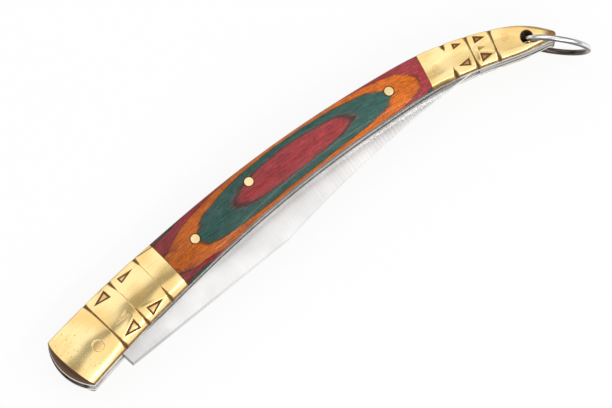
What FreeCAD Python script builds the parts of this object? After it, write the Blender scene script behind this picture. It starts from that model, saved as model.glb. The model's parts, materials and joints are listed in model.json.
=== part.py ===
import FreeCAD, Part
import math
import os

Vec = FreeCAD.Vector

# Folding pocket knife, closed and lying on its side.
# +X runs from the pivot to the tail, +Y to the back with its spring, +Z through the thickness.
# Lengths are millimetres and angles degrees.
# A place on the handle is a station, measured along the back edge from its front corner,
# and a depth, measured square to the back edge towards the belly.

# Thickness of the stack, from the middle outwards
SPRING_THICKNESS = 2.6
BLADE_SIDE_CLEARANCE = 0.1
LINER_THICKNESS = 1.0
VENEER_THICKNESS = 0.95
VENEER_NAMES = ("green_base", "maroon", "orange", "green", "red")

# Back edge: a chain of tangent arcs, each with its radius and its length
FRONT_HEADING = 14.5
BACK_RADIUS = 334.0
BACK_LENGTH = 96.0
REAR_RADIUS = 76.0
REAR_LENGTH = 26.0
TAIL_RADIUS = 22.0
TAIL_LENGTH = 11.6

# Places along the back edge, from its front corner
PIVOT_STATION = 6.7
FRONT_JUNCTION = 31.0
SPRING_PIN_STATION = 55.9
# Places along the back edge, from its tail end
REAR_BOLSTER_LENGTH = 31.2
HOLE_FROM_TAIL = 5.8

# Depth of the handle from back to belly
FRONT_DEPTH = 13.75
FRONT_JUNCTION_DEPTH = 12.5
MIDDLE_DEPTH = 10.35
REAR_JUNCTION_DEPTH = 8.6
LAST_GROOVE_DEPTH = 7.25
HOLE_DEPTH = 5.8
TAIL_DEPTH = 2.3

# Bulge of the rounded ends beyond their straight chords
END_BULGE = 2.4
END_TOP_BULGE = 1.2
TAIL_BULGE = 0.9

# Height of the domed outside above the liner, on the crown line and at the edges
FRONT_CROWN = 2.4
FRONT_EDGE = 0.95
FRONT_JUNCTION_CROWN = 2.05
FRONT_JUNCTION_EDGE = 0.5
SCALE_CROWN = 4.35
SCALE_EDGE = 2.0
REAR_JUNCTION_CROWN = 1.55
REAR_JUNCTION_EDGE = 0.95
TAIL_CROWN = 1.4
TAIL_EDGE = 0.8
# Shift of the crown line from the middle towards the belly, as a share of half the depth
END_SHIFT = 0.17
FRONT_JUNCTION_SHIFT = 0.22
MIDDLE_SHIFT = 0.04
# How late the scale's edges rise after its crown, and the crown behind the front bolster
EDGE_DELAY = 1.5
CROWN_DELAY = 1.2
# Share of the crown's drop that comes late, near the edges: more makes a flatter top
SCALE_FULLNESS = 0.35
BOLSTER_FULLNESS = 0.8

# Filed grooves in the bolsters, each with its place at the back and at the belly
FRONT_GROOVES = ((11.3, 11.2), (18.6, 18.55), (26.1, 26.05))
REAR_GROOVES_FROM_TAIL = ((25.1, 24.45), (19.75, 18.75), (14.35, 13.3))
GROOVE_EDGE_DEPTH = 0.45
GROOVE_MIDDLE_DEPTH = 0.2
GROOVE_HALF_ANGLE = 50.0
GROOVE_STEPS = 6
NOTCH_REACH = 0.32
# Chamfer filed along the back edge of a front bolster, up to the scale
CHAMFER_LENGTH = 5.2
CHAMFER_WIDTH = 0.85
CHAMFER_DROP = 0.75
# Punched triangles: place of the base, place of the apex, share of the handle's depth, half of the base
PUNCH_DEPTH = 0.35
FRONT_TRIANGLES = (
    (16.5, 12.5, 0.14, 1.1),
    (16.4, 12.6, 0.61, 0.5),
    (16.5, 12.3, 0.85, 1.25),
    (20.5, 24.4, 0.125, 0.75),
    (20.5, 24.6, 0.86, 1.15),
)
REAR_TRIANGLES_FROM_TAIL = (
    (22.95, 21.15, 0.15, 0.6),
    (20.5, 23.1, 0.735, 0.7),
    (17.85, 15.9, 0.17, 0.7),
    (17.5, 16.0, 0.47, 0.45),
    (17.2, 14.7, 0.735, 0.8),
)

# Pins and the hole for the ring
PIN_RADIUS = 1.1
PIVOT_RADIUS = 1.25
PIVOT_CLEARANCE = 0.05
PIVOT_DEPTH = 8.75
FRONT_RIVET_FROM_JUNCTION = 7.8
FRONT_RIVET_DEPTH = 6.1
SPRING_PIN_DEPTH = 3.9
REAR_PIN_FROM_JUNCTION = 9.4
REAR_PIN_DEPTH = 4.45
BOLSTER_PIN_FROM_JUNCTION = 2.8
BOLSTER_PIN_DEPTH = 4.6
TAIL_PIN_FROM_TAIL = 11.15
TAIL_PIN_DEPTH = 2.4
RING_HOLE_RADIUS = 1.45
RING_HOLE_DEPTH = 2.6

# Backspring: depth of its bar and its nose over the tang
TANG_HALF = 4.4
NOSE_CLEARANCE = 0.05
NOSE_FLAT = 8.0
STOP_GAP = 0.2
SPRING_ARM_STATION = 27.0
SPRING_ARM_DEPTH = 3.65
SPRING_PIN_WALL = 1.1
SPRING_REAR_DEPTH = 6.4
SPRING_TIP_DEPTH = 5.4
TIP_ROOM = 1.2

# Blade, drawn folded into the handle
TANG_CORNER = 2.4
HEEL_AHEAD = 2.95
HEEL_DROP = 7.45
PLUNGE_AHEAD = 15.0
EDGE_START_DROP = 3.6
EDGE_BELLY = 2.5
CLIP_STATION = 55.6
CLIP_PROUD = 7.0
CLIP_HOLLOW = 1.4
TIP_FROM_TAIL = 19.7
TIP_COVER = 1.0
TIP_HEIGHT = 0.35
TIP_THICKNESS = 1.2
EDGE_THICKNESS = 0.24
CLIP_THICKNESS = 2.0

# Ring
RING_OUTER_RADIUS = 7.8
RING_WIRE_RADIUS = 0.65
RING_HEADING = -41.0
RING_LEAN = 5.0

# Room beyond a face that a cutting tool starts or ends in
TOOL_ROOM = 1.0
DOME_MARGIN = 0.3
BELLY_STEP = 6.0

LINER_BASE = SPRING_THICKNESS / 2
LINER_TOP = LINER_BASE + LINER_THICKNESS
BACK_END = BACK_LENGTH + REAR_LENGTH + TAIL_LENGTH
REAR_JUNCTION = BACK_END - REAR_BOLSTER_LENGTH
HOLE_STATION = BACK_END - HOLE_FROM_TAIL
SCALE_MIDDLE = (FRONT_JUNCTION + REAR_JUNCTION) / 2
FRONT_RIVET_STATION = FRONT_JUNCTION + FRONT_RIVET_FROM_JUNCTION
REAR_PIN_STATION = REAR_JUNCTION - REAR_PIN_FROM_JUNCTION
BOLSTER_PIN_STATION = REAR_JUNCTION + BOLSTER_PIN_FROM_JUNCTION
TAIL_PIN_STATION = BACK_END - TAIL_PIN_FROM_TAIL
TIP_STATION = BACK_END - TIP_FROM_TAIL
REAR_GROOVES = [(BACK_END - back, BACK_END - belly) for back, belly in REAR_GROOVES_FROM_TAIL]
REAR_TRIANGLES = [(BACK_END - base, BACK_END - apex, *rest) for base, apex, *rest in REAR_TRIANGLES_FROM_TAIL]
BLADE_HALF = SPRING_THICKNESS / 2 - BLADE_SIDE_CLEARANCE
TALLEST = LINER_TOP + SCALE_CROWN + FRONT_CROWN
BACK_ARCS = ((BACK_RADIUS, BACK_LENGTH), (REAR_RADIUS, REAR_LENGTH), (TAIL_RADIUS, TAIL_LENGTH))


# The handle's own coordinates

def on_back(station):
    """Point and heading (radians) on the back edge; the end arcs run on past both ends."""
    x = 0.0
    y = 0.0
    heading = math.radians(FRONT_HEADING)
    left = station
    for number, (radius, length) in enumerate(BACK_ARCS):
        last = number == len(BACK_ARCS) - 1
        run = left if last else min(left, length)
        turned = heading - run / radius
        x += radius * (math.sin(heading) - math.sin(turned))
        y -= radius * (math.cos(heading) - math.cos(turned))
        heading = turned
        left -= run
        if left <= 0:
            break
    return x, y, heading


def place(station, depth, z=0.0):
    """Point at a station and depth."""
    x, y, heading = on_back(station)
    return Vec(x + depth * math.sin(heading), y - depth * math.cos(heading), z)


def through_points(points, position):
    """Smooth value at a position: cubic pieces through (position, value) points."""
    count = len(points)
    slopes = []
    for i in range(count):
        before = points[max(i - 1, 0)]
        after = points[min(i + 1, count - 1)]
        slopes.append((after[1] - before[1]) / (after[0] - before[0]))
    i = 0
    while i < count - 2 and position > points[i + 1][0]:
        i += 1
    span = points[i + 1][0] - points[i][0]
    t = (position - points[i][0]) / span
    if t < 0:
        return points[i][1] + slopes[i] * t * span
    if t > 1:
        return points[i + 1][1] + slopes[i + 1] * (t - 1) * span
    start = (1 + 2 * t) * (1 - t) ** 2 * points[i][1] + t * (1 - t) ** 2 * span * slopes[i]
    end = t ** 2 * (3 - 2 * t) * points[i + 1][1] + t ** 2 * (t - 1) * span * slopes[i + 1]
    return start + end


DEPTHS = (
    (0.0, FRONT_DEPTH),
    (FRONT_JUNCTION, FRONT_JUNCTION_DEPTH),
    (SCALE_MIDDLE, MIDDLE_DEPTH),
    (REAR_JUNCTION, REAR_JUNCTION_DEPTH),
    (REAR_GROOVES[-1][1], LAST_GROOVE_DEPTH),
    (HOLE_STATION, HOLE_DEPTH),
    (BACK_END, TAIL_DEPTH),
)


def depth_at(station):
    """Depth of the handle from back to belly."""
    return through_points(DEPTHS, station)


def spread(first, last, longest):
    """Evenly spaced values from first to last, no further apart than longest."""
    count = max(3, math.ceil(abs(last - first) / longest))
    return [first + (last - first) * i / count for i in range(count + 1)]


# Outlines

def back_edges(first, last, z):
    """Arcs of the back edge between two stations."""
    joints = [0.0, BACK_LENGTH, BACK_LENGTH + REAR_LENGTH, BACK_END]
    stops = [first] + [s for s in joints if first < s < last] + [last]
    edges = []
    for a, b in zip(stops, stops[1:]):
        arc = Part.Arc(place(a, 0, z), place((a + b) / 2, 0, z), place(b, 0, z))
        edges.append(arc.toShape())
    return edges


def curve(points):
    """Smooth edge through points."""
    spline = Part.BSplineCurve()
    spline.interpolate(points)
    return spline.toShape()


def belly_edge(first, last, z):
    """Belly edge from one station back to another."""
    return curve([place(s, depth_at(s), z) for s in spread(first, last, BELLY_STEP)])


def end_edge(station, bulge, z):
    """End of an outline from back to belly: straight, or an arc when it bulges along the handle."""
    top = place(station, 0, z)
    bottom = place(station, depth_at(station), z)
    if not bulge:
        return Part.LineSegment(top, bottom).toShape()
    heading = on_back(station)[2]
    middle = (top + bottom) * 0.5 + Vec(math.cos(heading), math.sin(heading), 0) * bulge
    return Part.Arc(top, middle, bottom).toShape()


def outline(first, last, z, front_bulge=0.0, tail_bulge=0.0):
    """Closed outline of the handle between two stations."""
    edges = back_edges(first, last, z)
    edges.append(end_edge(last, tail_bulge, z))
    edges.append(belly_edge(last, first, z))
    edges.append(end_edge(first, -front_bulge, z))
    return Part.Wire(Part.__sortEdges__(edges))


def slab(wire, height):
    """Plate raised from a flat closed outline."""
    return Part.Face(wire).extrude(Vec(0, 0, height))


def cylinder(station, depth, radius, low, high):
    """Round bar through the thickness."""
    return Part.makeCylinder(radius, high - low, place(station, depth, low))


# The domed outside

# each row: station, height of the crown, height of the edges, shift of the crown line, fullness
FRONT_HEIGHTS = (
    (-END_BULGE - TOOL_ROOM, FRONT_CROWN, FRONT_EDGE, END_SHIFT, BOLSTER_FULLNESS),
    (PIVOT_STATION, FRONT_CROWN, FRONT_EDGE, END_SHIFT, BOLSTER_FULLNESS),
    (FRONT_JUNCTION, FRONT_JUNCTION_CROWN, FRONT_JUNCTION_EDGE, FRONT_JUNCTION_SHIFT, SCALE_FULLNESS),
)
REAR_HEIGHTS = (
    (REAR_JUNCTION, REAR_JUNCTION_CROWN, REAR_JUNCTION_EDGE, END_SHIFT, SCALE_FULLNESS),
    (REAR_GROOVES[1][0], TAIL_CROWN, TAIL_EDGE, END_SHIFT, BOLSTER_FULLNESS),
    (REAR_GROOVES[2][0], TAIL_CROWN, TAIL_EDGE, END_SHIFT, BOLSTER_FULLNESS),
    (HOLE_STATION, TAIL_CROWN, TAIL_EDGE, END_SHIFT, BOLSTER_FULLNESS),
    (BACK_END + TAIL_BULGE + TOOL_ROOM, TAIL_CROWN, TAIL_EDGE, END_SHIFT, BOLSTER_FULLNESS),
)


def scale_heights():
    """Rows of the scale: the crown rises from both junctions to the middle, and the edges follow later."""
    rows = []
    half = (REAR_JUNCTION - FRONT_JUNCTION) / 2
    for station in spread(FRONT_JUNCTION, REAR_JUNCTION, half / 3):
        front = station < SCALE_MIDDLE
        low_crown = FRONT_JUNCTION_CROWN if front else REAR_JUNCTION_CROWN
        low_edge = FRONT_JUNCTION_EDGE if front else REAR_JUNCTION_EDGE
        low_shift = FRONT_JUNCTION_SHIFT if front else END_SHIFT
        rise = max(0.0, 1 - ((station - SCALE_MIDDLE) / half) ** 2)
        crown = low_crown + (SCALE_CROWN - low_crown) * rise ** (CROWN_DELAY if front else 1)
        edge = low_edge + (SCALE_EDGE - low_edge) * rise ** EDGE_DELAY
        shift = low_shift + (MIDDLE_SHIFT - low_shift) * rise
        rows.append((station, crown, edge, shift, SCALE_FULLNESS))
    return rows


def half_depth(station):
    """Half of the handle's depth; past either end it keeps the end's value."""
    return depth_at(min(max(station, 0.0), BACK_END)) / 2


def dome_height(share, crown, edge, shift, fullness):
    """Height of the crown at a share from -1 at the back edge to 1 at the belly edge."""
    reach = 1 - shift if share > shift else 1 + shift
    out = (share - shift) / reach
    return crown - (crown - edge) * ((1 - fullness) * out ** 2 + fullness * out ** 4)


def dome_section(station, *shape):
    """Cross-section of the domed half handle, standing on the middle plane."""
    half = half_depth(station)
    reach = half + DOME_MARGIN
    top = []
    for across in spread(-reach, reach, reach / 5):
        top.append(place(station, half + across, LINER_TOP + dome_height(across / half, *shape)))
    first = place(station, half - reach)
    last = place(station, half + reach)
    edges = [Part.LineSegment(first, top[0]).toShape(), curve(top)]
    edges.append(Part.LineSegment(top[-1], last).toShape())
    edges.append(Part.LineSegment(last, first).toShape())
    return Part.Wire(edges)


def dome(rows):
    """Half handle under a crown whose shape changes along the stations."""
    return Part.makeLoft([dome_section(*row) for row in rows], True, False)


def surface_height(rows, station, depth):
    """Height of a dome above the middle plane."""
    shape = [through_points([(row[0], row[k]) for row in rows], station) for k in range(1, len(rows[0]))]
    return LINER_TOP + dome_height(depth / half_depth(station) - 1, *shape)


# Filed grooves and punched triangles

def filed_floor(rows, outer_place, inner_place, inner_cut):
    """Floor of a filed groove under the crown, from outside the edge inwards: deepest at the edge."""
    floor = []
    for share in spread(0, 1, 1 / GROOVE_STEPS):
        station, depth = (o + (i - o) * share for o, i in zip(outer_place, inner_place))
        cut = GROOVE_EDGE_DEPTH + (inner_cut - GROOVE_EDGE_DEPTH) * share
        floor.append(place(station, depth, surface_height(rows, station, depth) - cut))
    outwards = place(*outer_place) - place(*inner_place)
    return [floor[0] + outwards * (TOOL_ROOM / outwards.Length)] + floor


def file_path(floor, station):
    """Three-square file on its way along a floor."""
    heading = on_back(station)[2]
    tall = FRONT_CROWN + TOOL_ROOM
    half = tall * math.tan(math.radians(GROOVE_HALF_ANGLE))
    wide = Vec(math.cos(heading), math.sin(heading), 0) * half
    up = Vec(0, 0, tall)
    sections = [Part.makePolygon([low, low + up + wide, low + up - wide, low]) for low in floor]
    return Part.makeLoft(sections, True, True)


def groove(rows, ends, reach=None):
    """Groove right across, or a pair of notches that run out at a share of the depth from both edges."""
    def on_line(share):
        station = ends[0] + (ends[1] - ends[0]) * share
        return station, depth_at(station) * share

    inner = reach if reach else 0.5
    inner_cut = -GROOVE_MIDDLE_DEPTH if reach else GROOVE_MIDDLE_DEPTH
    back = filed_floor(rows, on_line(0), on_line(inner), inner_cut)
    belly = filed_floor(rows, on_line(1), on_line(1 - inner), inner_cut)
    if reach:
        return [file_path(back, ends[0]), file_path(belly, ends[1])]
    return [file_path(back + belly[-2::-1], ends[0])]


def punch(rows, base, apex, share, half_base):
    """Triangular recess whose floor follows the crown."""
    corners = []
    for station, side in ((base, -1), (base, 1), (apex, 0)):
        depth = depth_at(station) * share + side * half_base
        depth = min(max(depth, PUNCH_DEPTH), depth_at(station) - PUNCH_DEPTH)
        corners.append(place(station, depth, surface_height(rows, station, depth) - PUNCH_DEPTH))
    wire = Part.makePolygon(corners + corners[:1])
    return Part.Face(wire).extrude(Vec(0, 0, FRONT_CROWN))


def back_chamfer(rows):
    """Sloping flat along the back edge, nothing at its start and widest at the scale."""
    first = FRONT_JUNCTION - CHAMFER_LENGTH
    start = place(first, 0, surface_height(rows, first, 0))
    inner = place(FRONT_JUNCTION, CHAMFER_WIDTH, surface_height(rows, FRONT_JUNCTION, CHAMFER_WIDTH))
    outer = place(FRONT_JUNCTION, 0, surface_height(rows, FRONT_JUNCTION, CHAMFER_WIDTH) - CHAMFER_DROP)
    reach = 1 + TOOL_ROOM / CHAMFER_LENGTH
    inner = start + (inner - start) * reach
    outer = start + (outer - start) * reach
    away = (outer - start).cross(inner - start).normalize()
    if away.z < 0:
        away = -away
    low = inner + (outer - inner) * 2
    return Part.Face(Part.makePolygon([start, inner, low, start])).extrude(away * FRONT_CROWN)


def front_cuts():
    """Grooves, triangles and chamfer of a front bolster: the first groove runs right across."""
    tools = [back_chamfer(FRONT_HEIGHTS)]
    tools += groove(FRONT_HEIGHTS, FRONT_GROOVES[0])
    for ends in FRONT_GROOVES[1:]:
        tools += groove(FRONT_HEIGHTS, ends, NOTCH_REACH)
    return tools + [punch(FRONT_HEIGHTS, *triangle) for triangle in FRONT_TRIANGLES]


def rear_cuts():
    """Grooves and triangles of a rear bolster: the last two grooves run right across."""
    tools = groove(REAR_HEIGHTS, REAR_GROOVES[0], NOTCH_REACH)
    for ends in REAR_GROOVES[1:]:
        tools += groove(REAR_HEIGHTS, ends)
    return tools + [punch(REAR_HEIGHTS, *triangle) for triangle in REAR_TRIANGLES]


# Handle pieces on the top side

def pin_holes():
    """Bars that clear every pin and the ring's hole."""
    places = (
        (PIVOT_STATION, PIVOT_DEPTH, PIVOT_RADIUS),
        (FRONT_RIVET_STATION, FRONT_RIVET_DEPTH, PIN_RADIUS),
        (SPRING_PIN_STATION, SPRING_PIN_DEPTH, PIN_RADIUS),
        (REAR_PIN_STATION, REAR_PIN_DEPTH, PIN_RADIUS),
        (BOLSTER_PIN_STATION, BOLSTER_PIN_DEPTH, PIN_RADIUS),
        (TAIL_PIN_STATION, TAIL_PIN_DEPTH, PIN_RADIUS),
        (HOLE_STATION, RING_HOLE_DEPTH, RING_HOLE_RADIUS),
    )
    return [cylinder(s, d, r, -TALLEST, TALLEST) for s, d, r in places]


def liner():
    """Steel plate under scale and bolsters."""
    whole = outline(0.0, BACK_END, LINER_BASE, END_BULGE, TAIL_BULGE)
    return slab(whole, LINER_THICKNESS).cut(pin_holes())


def front_bolster(crown):
    """Brass cap at the pivot: its end leans back from the liner to the crown."""
    foot = outline(0.0, FRONT_JUNCTION, LINER_TOP, END_BULGE)
    head = outline(0.0, FRONT_JUNCTION, LINER_TOP + FRONT_CROWN, END_TOP_BULGE)
    block = Part.makeLoft([foot, head], True, True)
    return block.common(crown).cut(front_cuts() + pin_holes())


def rear_bolster(crown):
    """Brass cap at the tail, with the ring's hole."""
    block = slab(outline(REAR_JUNCTION, BACK_END, LINER_TOP, 0.0, TAIL_BULGE), TALLEST)
    return block.common(crown).cut(rear_cuts() + pin_holes())


def scale_veneers(crown):
    """Crowned scale, parted into its dyed veneers from the liner up."""
    wood = slab(outline(FRONT_JUNCTION, REAR_JUNCTION, LINER_TOP), TALLEST)
    wood = wood.common(crown).cut(pin_holes())
    box = wood.BoundBox
    corner = Vec(box.XMin - TOOL_ROOM, box.YMin - TOOL_ROOM, LINER_TOP)
    length = box.XLength + 2 * TOOL_ROOM
    width = box.YLength + 2 * TOOL_ROOM
    veneers = []
    for number, name in enumerate(VENEER_NAMES):
        top_one = number == len(VENEER_NAMES) - 1
        height = TALLEST if top_one else VENEER_THICKNESS
        layer = Part.makeBox(length, width, height, corner + Vec(0, 0, number * VENEER_THICKNESS))
        veneers.append((name, wood.common(layer)))
    return veneers


def mirrored(shape):
    """The same piece on the bottom side."""
    return shape.mirror(Vec(0, 0, 0), Vec(0, 0, 1))


def through_pin(crown, station, depth, radius):
    """Pin riveted flush with both domes."""
    upper = cylinder(station, depth, radius, 0, TALLEST).common(crown)
    return upper.fuse(mirrored(upper)).removeSplitter()


def scale_rivet(crown):
    """Short rivet through one scale and its liner, clear of the folded blade."""
    return cylinder(FRONT_RIVET_STATION, FRONT_RIVET_DEPTH, PIN_RADIUS, LINER_BASE, TALLEST).common(crown)


# Backspring

def by_pivot(ahead, drop, z=0.0):
    """Point measured from the pivot: ahead along the handle, and dropped towards the belly."""
    heading = on_back(PIVOT_STATION)[2]
    along = Vec(math.cos(heading), math.sin(heading), 0)
    down = Vec(math.sin(heading), -math.cos(heading), 0)
    return place(PIVOT_STATION, PIVOT_DEPTH, z) + along * ahead + down * drop


def backspring():
    """Bar along the back: a straight nose over the tang, a thin arm, and a full-depth tail."""
    low = -SPRING_THICKNESS / 2
    nose_ahead = STOP_GAP - HEEL_AHEAD
    nose_drop = -TANG_HALF - NOSE_CLEARANCE
    nose = by_pivot(nose_ahead, nose_drop, low)
    flat_end = by_pivot(NOSE_FLAT, nose_drop, low)
    first = PIVOT_STATION + nose_ahead
    step = TIP_STATION + TIP_ROOM
    pin_depth = SPRING_PIN_DEPTH + PIN_RADIUS + SPRING_PIN_WALL
    inner = (
        (SPRING_ARM_STATION, SPRING_ARM_DEPTH),
        (SPRING_PIN_STATION, pin_depth),
        (REAR_PIN_STATION, SPRING_REAR_DEPTH),
        (step, SPRING_TIP_DEPTH),
    )
    stations = spread(SPRING_ARM_STATION, step, BELLY_STEP)
    under = [flat_end] + [place(s, through_points(inner, s), low) for s in stations]
    edges = back_edges(first, BACK_END, low)
    edges.append(end_edge(BACK_END, TAIL_BULGE, low))
    edges.append(belly_edge(BACK_END, step, low))
    edges.append(Part.LineSegment(place(step, depth_at(step), low), under[-1]).toShape())
    edges.append(curve(under))
    edges.append(Part.LineSegment(flat_end, nose).toShape())
    edges.append(Part.LineSegment(nose, place(first, 0, low)).toShape())
    wire = Part.Wire(Part.__sortEdges__(edges))
    return slab(wire, SPRING_THICKNESS).cut(pin_holes())


# Blade

def bowed(start, end, bow, x):
    """Height at x of a shallow parabola from start to end that rises by bow in its middle."""
    t = (x - start.x) / (end.x - start.x)
    return start.y + (end.y - start.y) * t + 4 * bow * t * (1 - t)


def blade():
    """Clip-point blade: a tang with two flats and a square heel, and a ground wedge to the edge."""
    heel = by_pivot(HEEL_AHEAD, HEEL_DROP)
    pivot = by_pivot(0, 0)
    clip = place(CLIP_STATION, depth_at(CLIP_STATION) + CLIP_PROUD)
    tip = place(TIP_STATION, depth_at(TIP_STATION) - TIP_COVER)
    tip_spine = tip - Vec(0, TIP_HEIGHT, 0)
    plunge = pivot.x + PLUNGE_AHEAD
    edge_start = Vec(plunge, by_pivot(PLUNGE_AHEAD, -EDGE_START_DROP).y, 0)
    spine_start = Vec(plunge, bowed(heel, clip, 0, plunge), 0)

    tang = tang_plate(heel, spine_start, edge_start)
    straight = []
    for x in spread(plunge, clip.x, (clip.x - plunge) / 4):
        taper = (x - plunge) / (clip.x - plunge)
        spine = bowed(heel, clip, 0, x)
        thick = BLADE_HALF + (CLIP_THICKNESS / 2 - BLADE_HALF) * taper
        straight.append(wedge(x, spine, bowed(edge_start, tip, EDGE_BELLY, x), thick))
    pointed = []
    for x in spread(clip.x, tip.x, (tip.x - clip.x) / 6):
        taper = (x - clip.x) / (tip.x - clip.x)
        spine = bowed(clip, tip_spine, CLIP_HOLLOW, x)
        thick = (CLIP_THICKNESS + (TIP_THICKNESS - CLIP_THICKNESS) * taper) / 2
        pointed.append(wedge(x, spine, bowed(edge_start, tip, EDGE_BELLY, x), thick))
    ground = [Part.makeLoft(straight, True, False), Part.makeLoft(pointed, True, False)]
    hole = cylinder(PIVOT_STATION, PIVOT_DEPTH, PIVOT_RADIUS + PIVOT_CLEARANCE, -TALLEST, TALLEST)
    return tang.fuse(ground).removeSplitter().cut(hole)


def wedge(x, spine, edge, half):
    """Cross-section of the ground blade: thick at the spine and thin at the edge."""
    thin = EDGE_THICKNESS / 2
    corners = [Vec(x, spine, half), Vec(x, edge, thin), Vec(x, edge, -thin), Vec(x, spine, -half)]
    return Part.makePolygon(corners + corners[:1])


def tang_plate(heel, spine_start, edge_start):
    """Unground plate round the pivot; its flats lie under the spring's nose when closed and open."""
    a = TANG_HALF
    c = TANG_HALF - TANG_CORNER
    bend = c + TANG_CORNER * math.sqrt(0.5)
    lines = (
        (heel, by_pivot(HEEL_AHEAD, a)),
        (by_pivot(HEEL_AHEAD, a), by_pivot(-c, a)),
        (by_pivot(-a, c), by_pivot(-a, -c)),
        (by_pivot(-c, -a), by_pivot(NOSE_FLAT, -a)),
        (by_pivot(NOSE_FLAT, -a), edge_start),
        (edge_start, spine_start),
        (spine_start, heel),
    )
    edges = [Part.LineSegment(start, end).toShape() for start, end in lines]
    edges.append(Part.Arc(by_pivot(-c, a), by_pivot(-bend, bend), by_pivot(-a, c)).toShape())
    edges.append(Part.Arc(by_pivot(-a, -c), by_pivot(-bend, -bend), by_pivot(-c, -a)).toShape())
    plate = slab(Part.Wire(Part.__sortEdges__(edges)), 2 * BLADE_HALF)
    return plate.translated(Vec(0, 0, -BLADE_HALF))


# Ring

def ring():
    """Wire ring through the tail, leaning a little from the plane of the hole's axis."""
    inner = RING_OUTER_RADIUS - 2 * RING_WIRE_RADIUS
    half_tail = LINER_TOP + TAIL_CROWN
    # the wire keeps the same room to the near and the far wall of the hole
    far_reach = math.sqrt(inner ** 2 - half_tail ** 2)
    offset = (RING_OUTER_RADIUS + far_reach) / 2
    heading = math.radians(RING_HEADING)
    outward = Vec(math.cos(heading), math.sin(heading), 0)
    centre = place(HOLE_STATION, RING_HOLE_DEPTH) + outward * offset
    lean = math.radians(RING_LEAN)
    across = Vec(-outward.y * math.cos(lean), outward.x * math.cos(lean), math.sin(lean))
    return Part.makeTorus(RING_OUTER_RADIUS - RING_WIRE_RADIUS, RING_WIRE_RADIUS, centre, across)


def build():
    """Every piece of the knife by its name."""
    front = dome(FRONT_HEIGHTS)
    middle = dome(scale_heights())
    rear = dome(REAR_HEIGHTS)
    pieces = {"blade": blade(), "backspring": backspring(), "lanyard_ring": ring()}
    sides = {"liner": liner(), "front_bolster": front_bolster(front), "rear_bolster": rear_bolster(rear)}
    for name, veneer in scale_veneers(middle):
        sides["scale_" + name] = veneer
    sides["front_scale_rivet"] = scale_rivet(middle)
    for name, shape in sides.items():
        pieces[name + "_top"] = shape
        pieces[name + "_bottom"] = mirrored(shape)
    pieces["pivot_pin"] = through_pin(front, PIVOT_STATION, PIVOT_DEPTH, PIVOT_RADIUS)
    pieces["spring_pin"] = through_pin(middle, SPRING_PIN_STATION, SPRING_PIN_DEPTH, PIN_RADIUS)
    pieces["rear_scale_pin"] = through_pin(middle, REAR_PIN_STATION, REAR_PIN_DEPTH, PIN_RADIUS)
    pieces["rear_bolster_pin"] = through_pin(rear, BOLSTER_PIN_STATION, BOLSTER_PIN_DEPTH, PIN_RADIUS)
    pieces["tail_pin"] = through_pin(rear, TAIL_PIN_STATION, TAIL_PIN_DEPTH, PIN_RADIUS)
    return pieces


def main():
    """Stands the knife on its lowest point, centred, and writes each piece."""
    os.makedirs("parts", exist_ok=True)
    pieces = build()
    box = Part.makeCompound(list(pieces.values())).optimalBoundingBox(True, False)
    shift = Vec(-(box.XMin + box.XMax) / 2, -(box.YMin + box.YMax) / 2, -box.ZMin)
    for name, shape in pieces.items():
        solids = shape.translated(shift).Solids
        print(name, "solids", len(solids), "valid", all(s.isValid() for s in solids),
              "volume", round(sum(s.Volume for s in solids), 3))
        Part.makeCompound(solids).exportStep(os.path.join("parts", name + ".step"))
    print("size", round(box.XLength, 3), round(box.YLength, 3), round(box.ZLength, 3))
    print("pivot", by_pivot(0, 0) + shift)
    print("ring hole", place(HOLE_STATION, RING_HOLE_DEPTH) + shift)


main()
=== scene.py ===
# %% [markdown]
# # A folding pocket knife, closed
# The knife lies on its side: the blade is folded between two steel liners, brass bolsters cap both ends,
# and the scales between them are blocks of dyed veneers ground to a crown.
# The imported model comes first, as a fixed frame. The finished knife has to stay inside it.

import functools
import json
import math

import bmesh
import bpy
import numpy as np
from mathutils import Matrix, Vector


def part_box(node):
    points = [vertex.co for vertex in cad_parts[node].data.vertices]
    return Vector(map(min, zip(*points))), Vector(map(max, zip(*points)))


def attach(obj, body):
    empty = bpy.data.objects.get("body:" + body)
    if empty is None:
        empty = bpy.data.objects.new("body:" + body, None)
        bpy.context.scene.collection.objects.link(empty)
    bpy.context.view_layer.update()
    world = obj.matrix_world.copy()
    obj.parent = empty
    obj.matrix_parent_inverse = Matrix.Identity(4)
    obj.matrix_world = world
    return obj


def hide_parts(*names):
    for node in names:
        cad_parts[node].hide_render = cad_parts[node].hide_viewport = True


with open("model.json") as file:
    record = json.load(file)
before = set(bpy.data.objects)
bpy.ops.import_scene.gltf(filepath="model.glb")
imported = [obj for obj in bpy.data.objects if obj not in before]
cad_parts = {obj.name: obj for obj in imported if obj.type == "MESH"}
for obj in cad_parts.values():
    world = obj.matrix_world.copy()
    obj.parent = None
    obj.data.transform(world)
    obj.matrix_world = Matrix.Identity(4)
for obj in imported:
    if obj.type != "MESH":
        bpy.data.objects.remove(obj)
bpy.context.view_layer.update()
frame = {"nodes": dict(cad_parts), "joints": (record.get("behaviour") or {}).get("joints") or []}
nodes = frame["nodes"]
joints = {joint["name"]: joint for joint in frame["joints"]}
pivot = np.array(joints["blade_pivot"]["pos_m"]) * 1000
print("frame:", len(nodes), "nodes, pivot at", pivot.round(2), "mm")

# %% [markdown]
# ## Camera
# The photograph is taken from high above with a long lens, so nearly all lines stay parallel.
# The angle, the scale and the framing come from fitting the pins and corners of the model to the picture.
# A camera two metres away with a long focal length gives that flat look without any shift.

# %% Camera
IMAGE_WIDTH, IMAGE_HEIGHT = 612, 408
VIEW_AZIMUTH = math.radians(-33.35)
VIEW_ELEVATION = math.radians(75)
VIEW_DISTANCE = 2.0
PIXELS_PER_METRE = 4621.9
AIM = Vector((0, 0, 0.008))
AIM_PIXEL = (311.5, 186.2)

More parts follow.
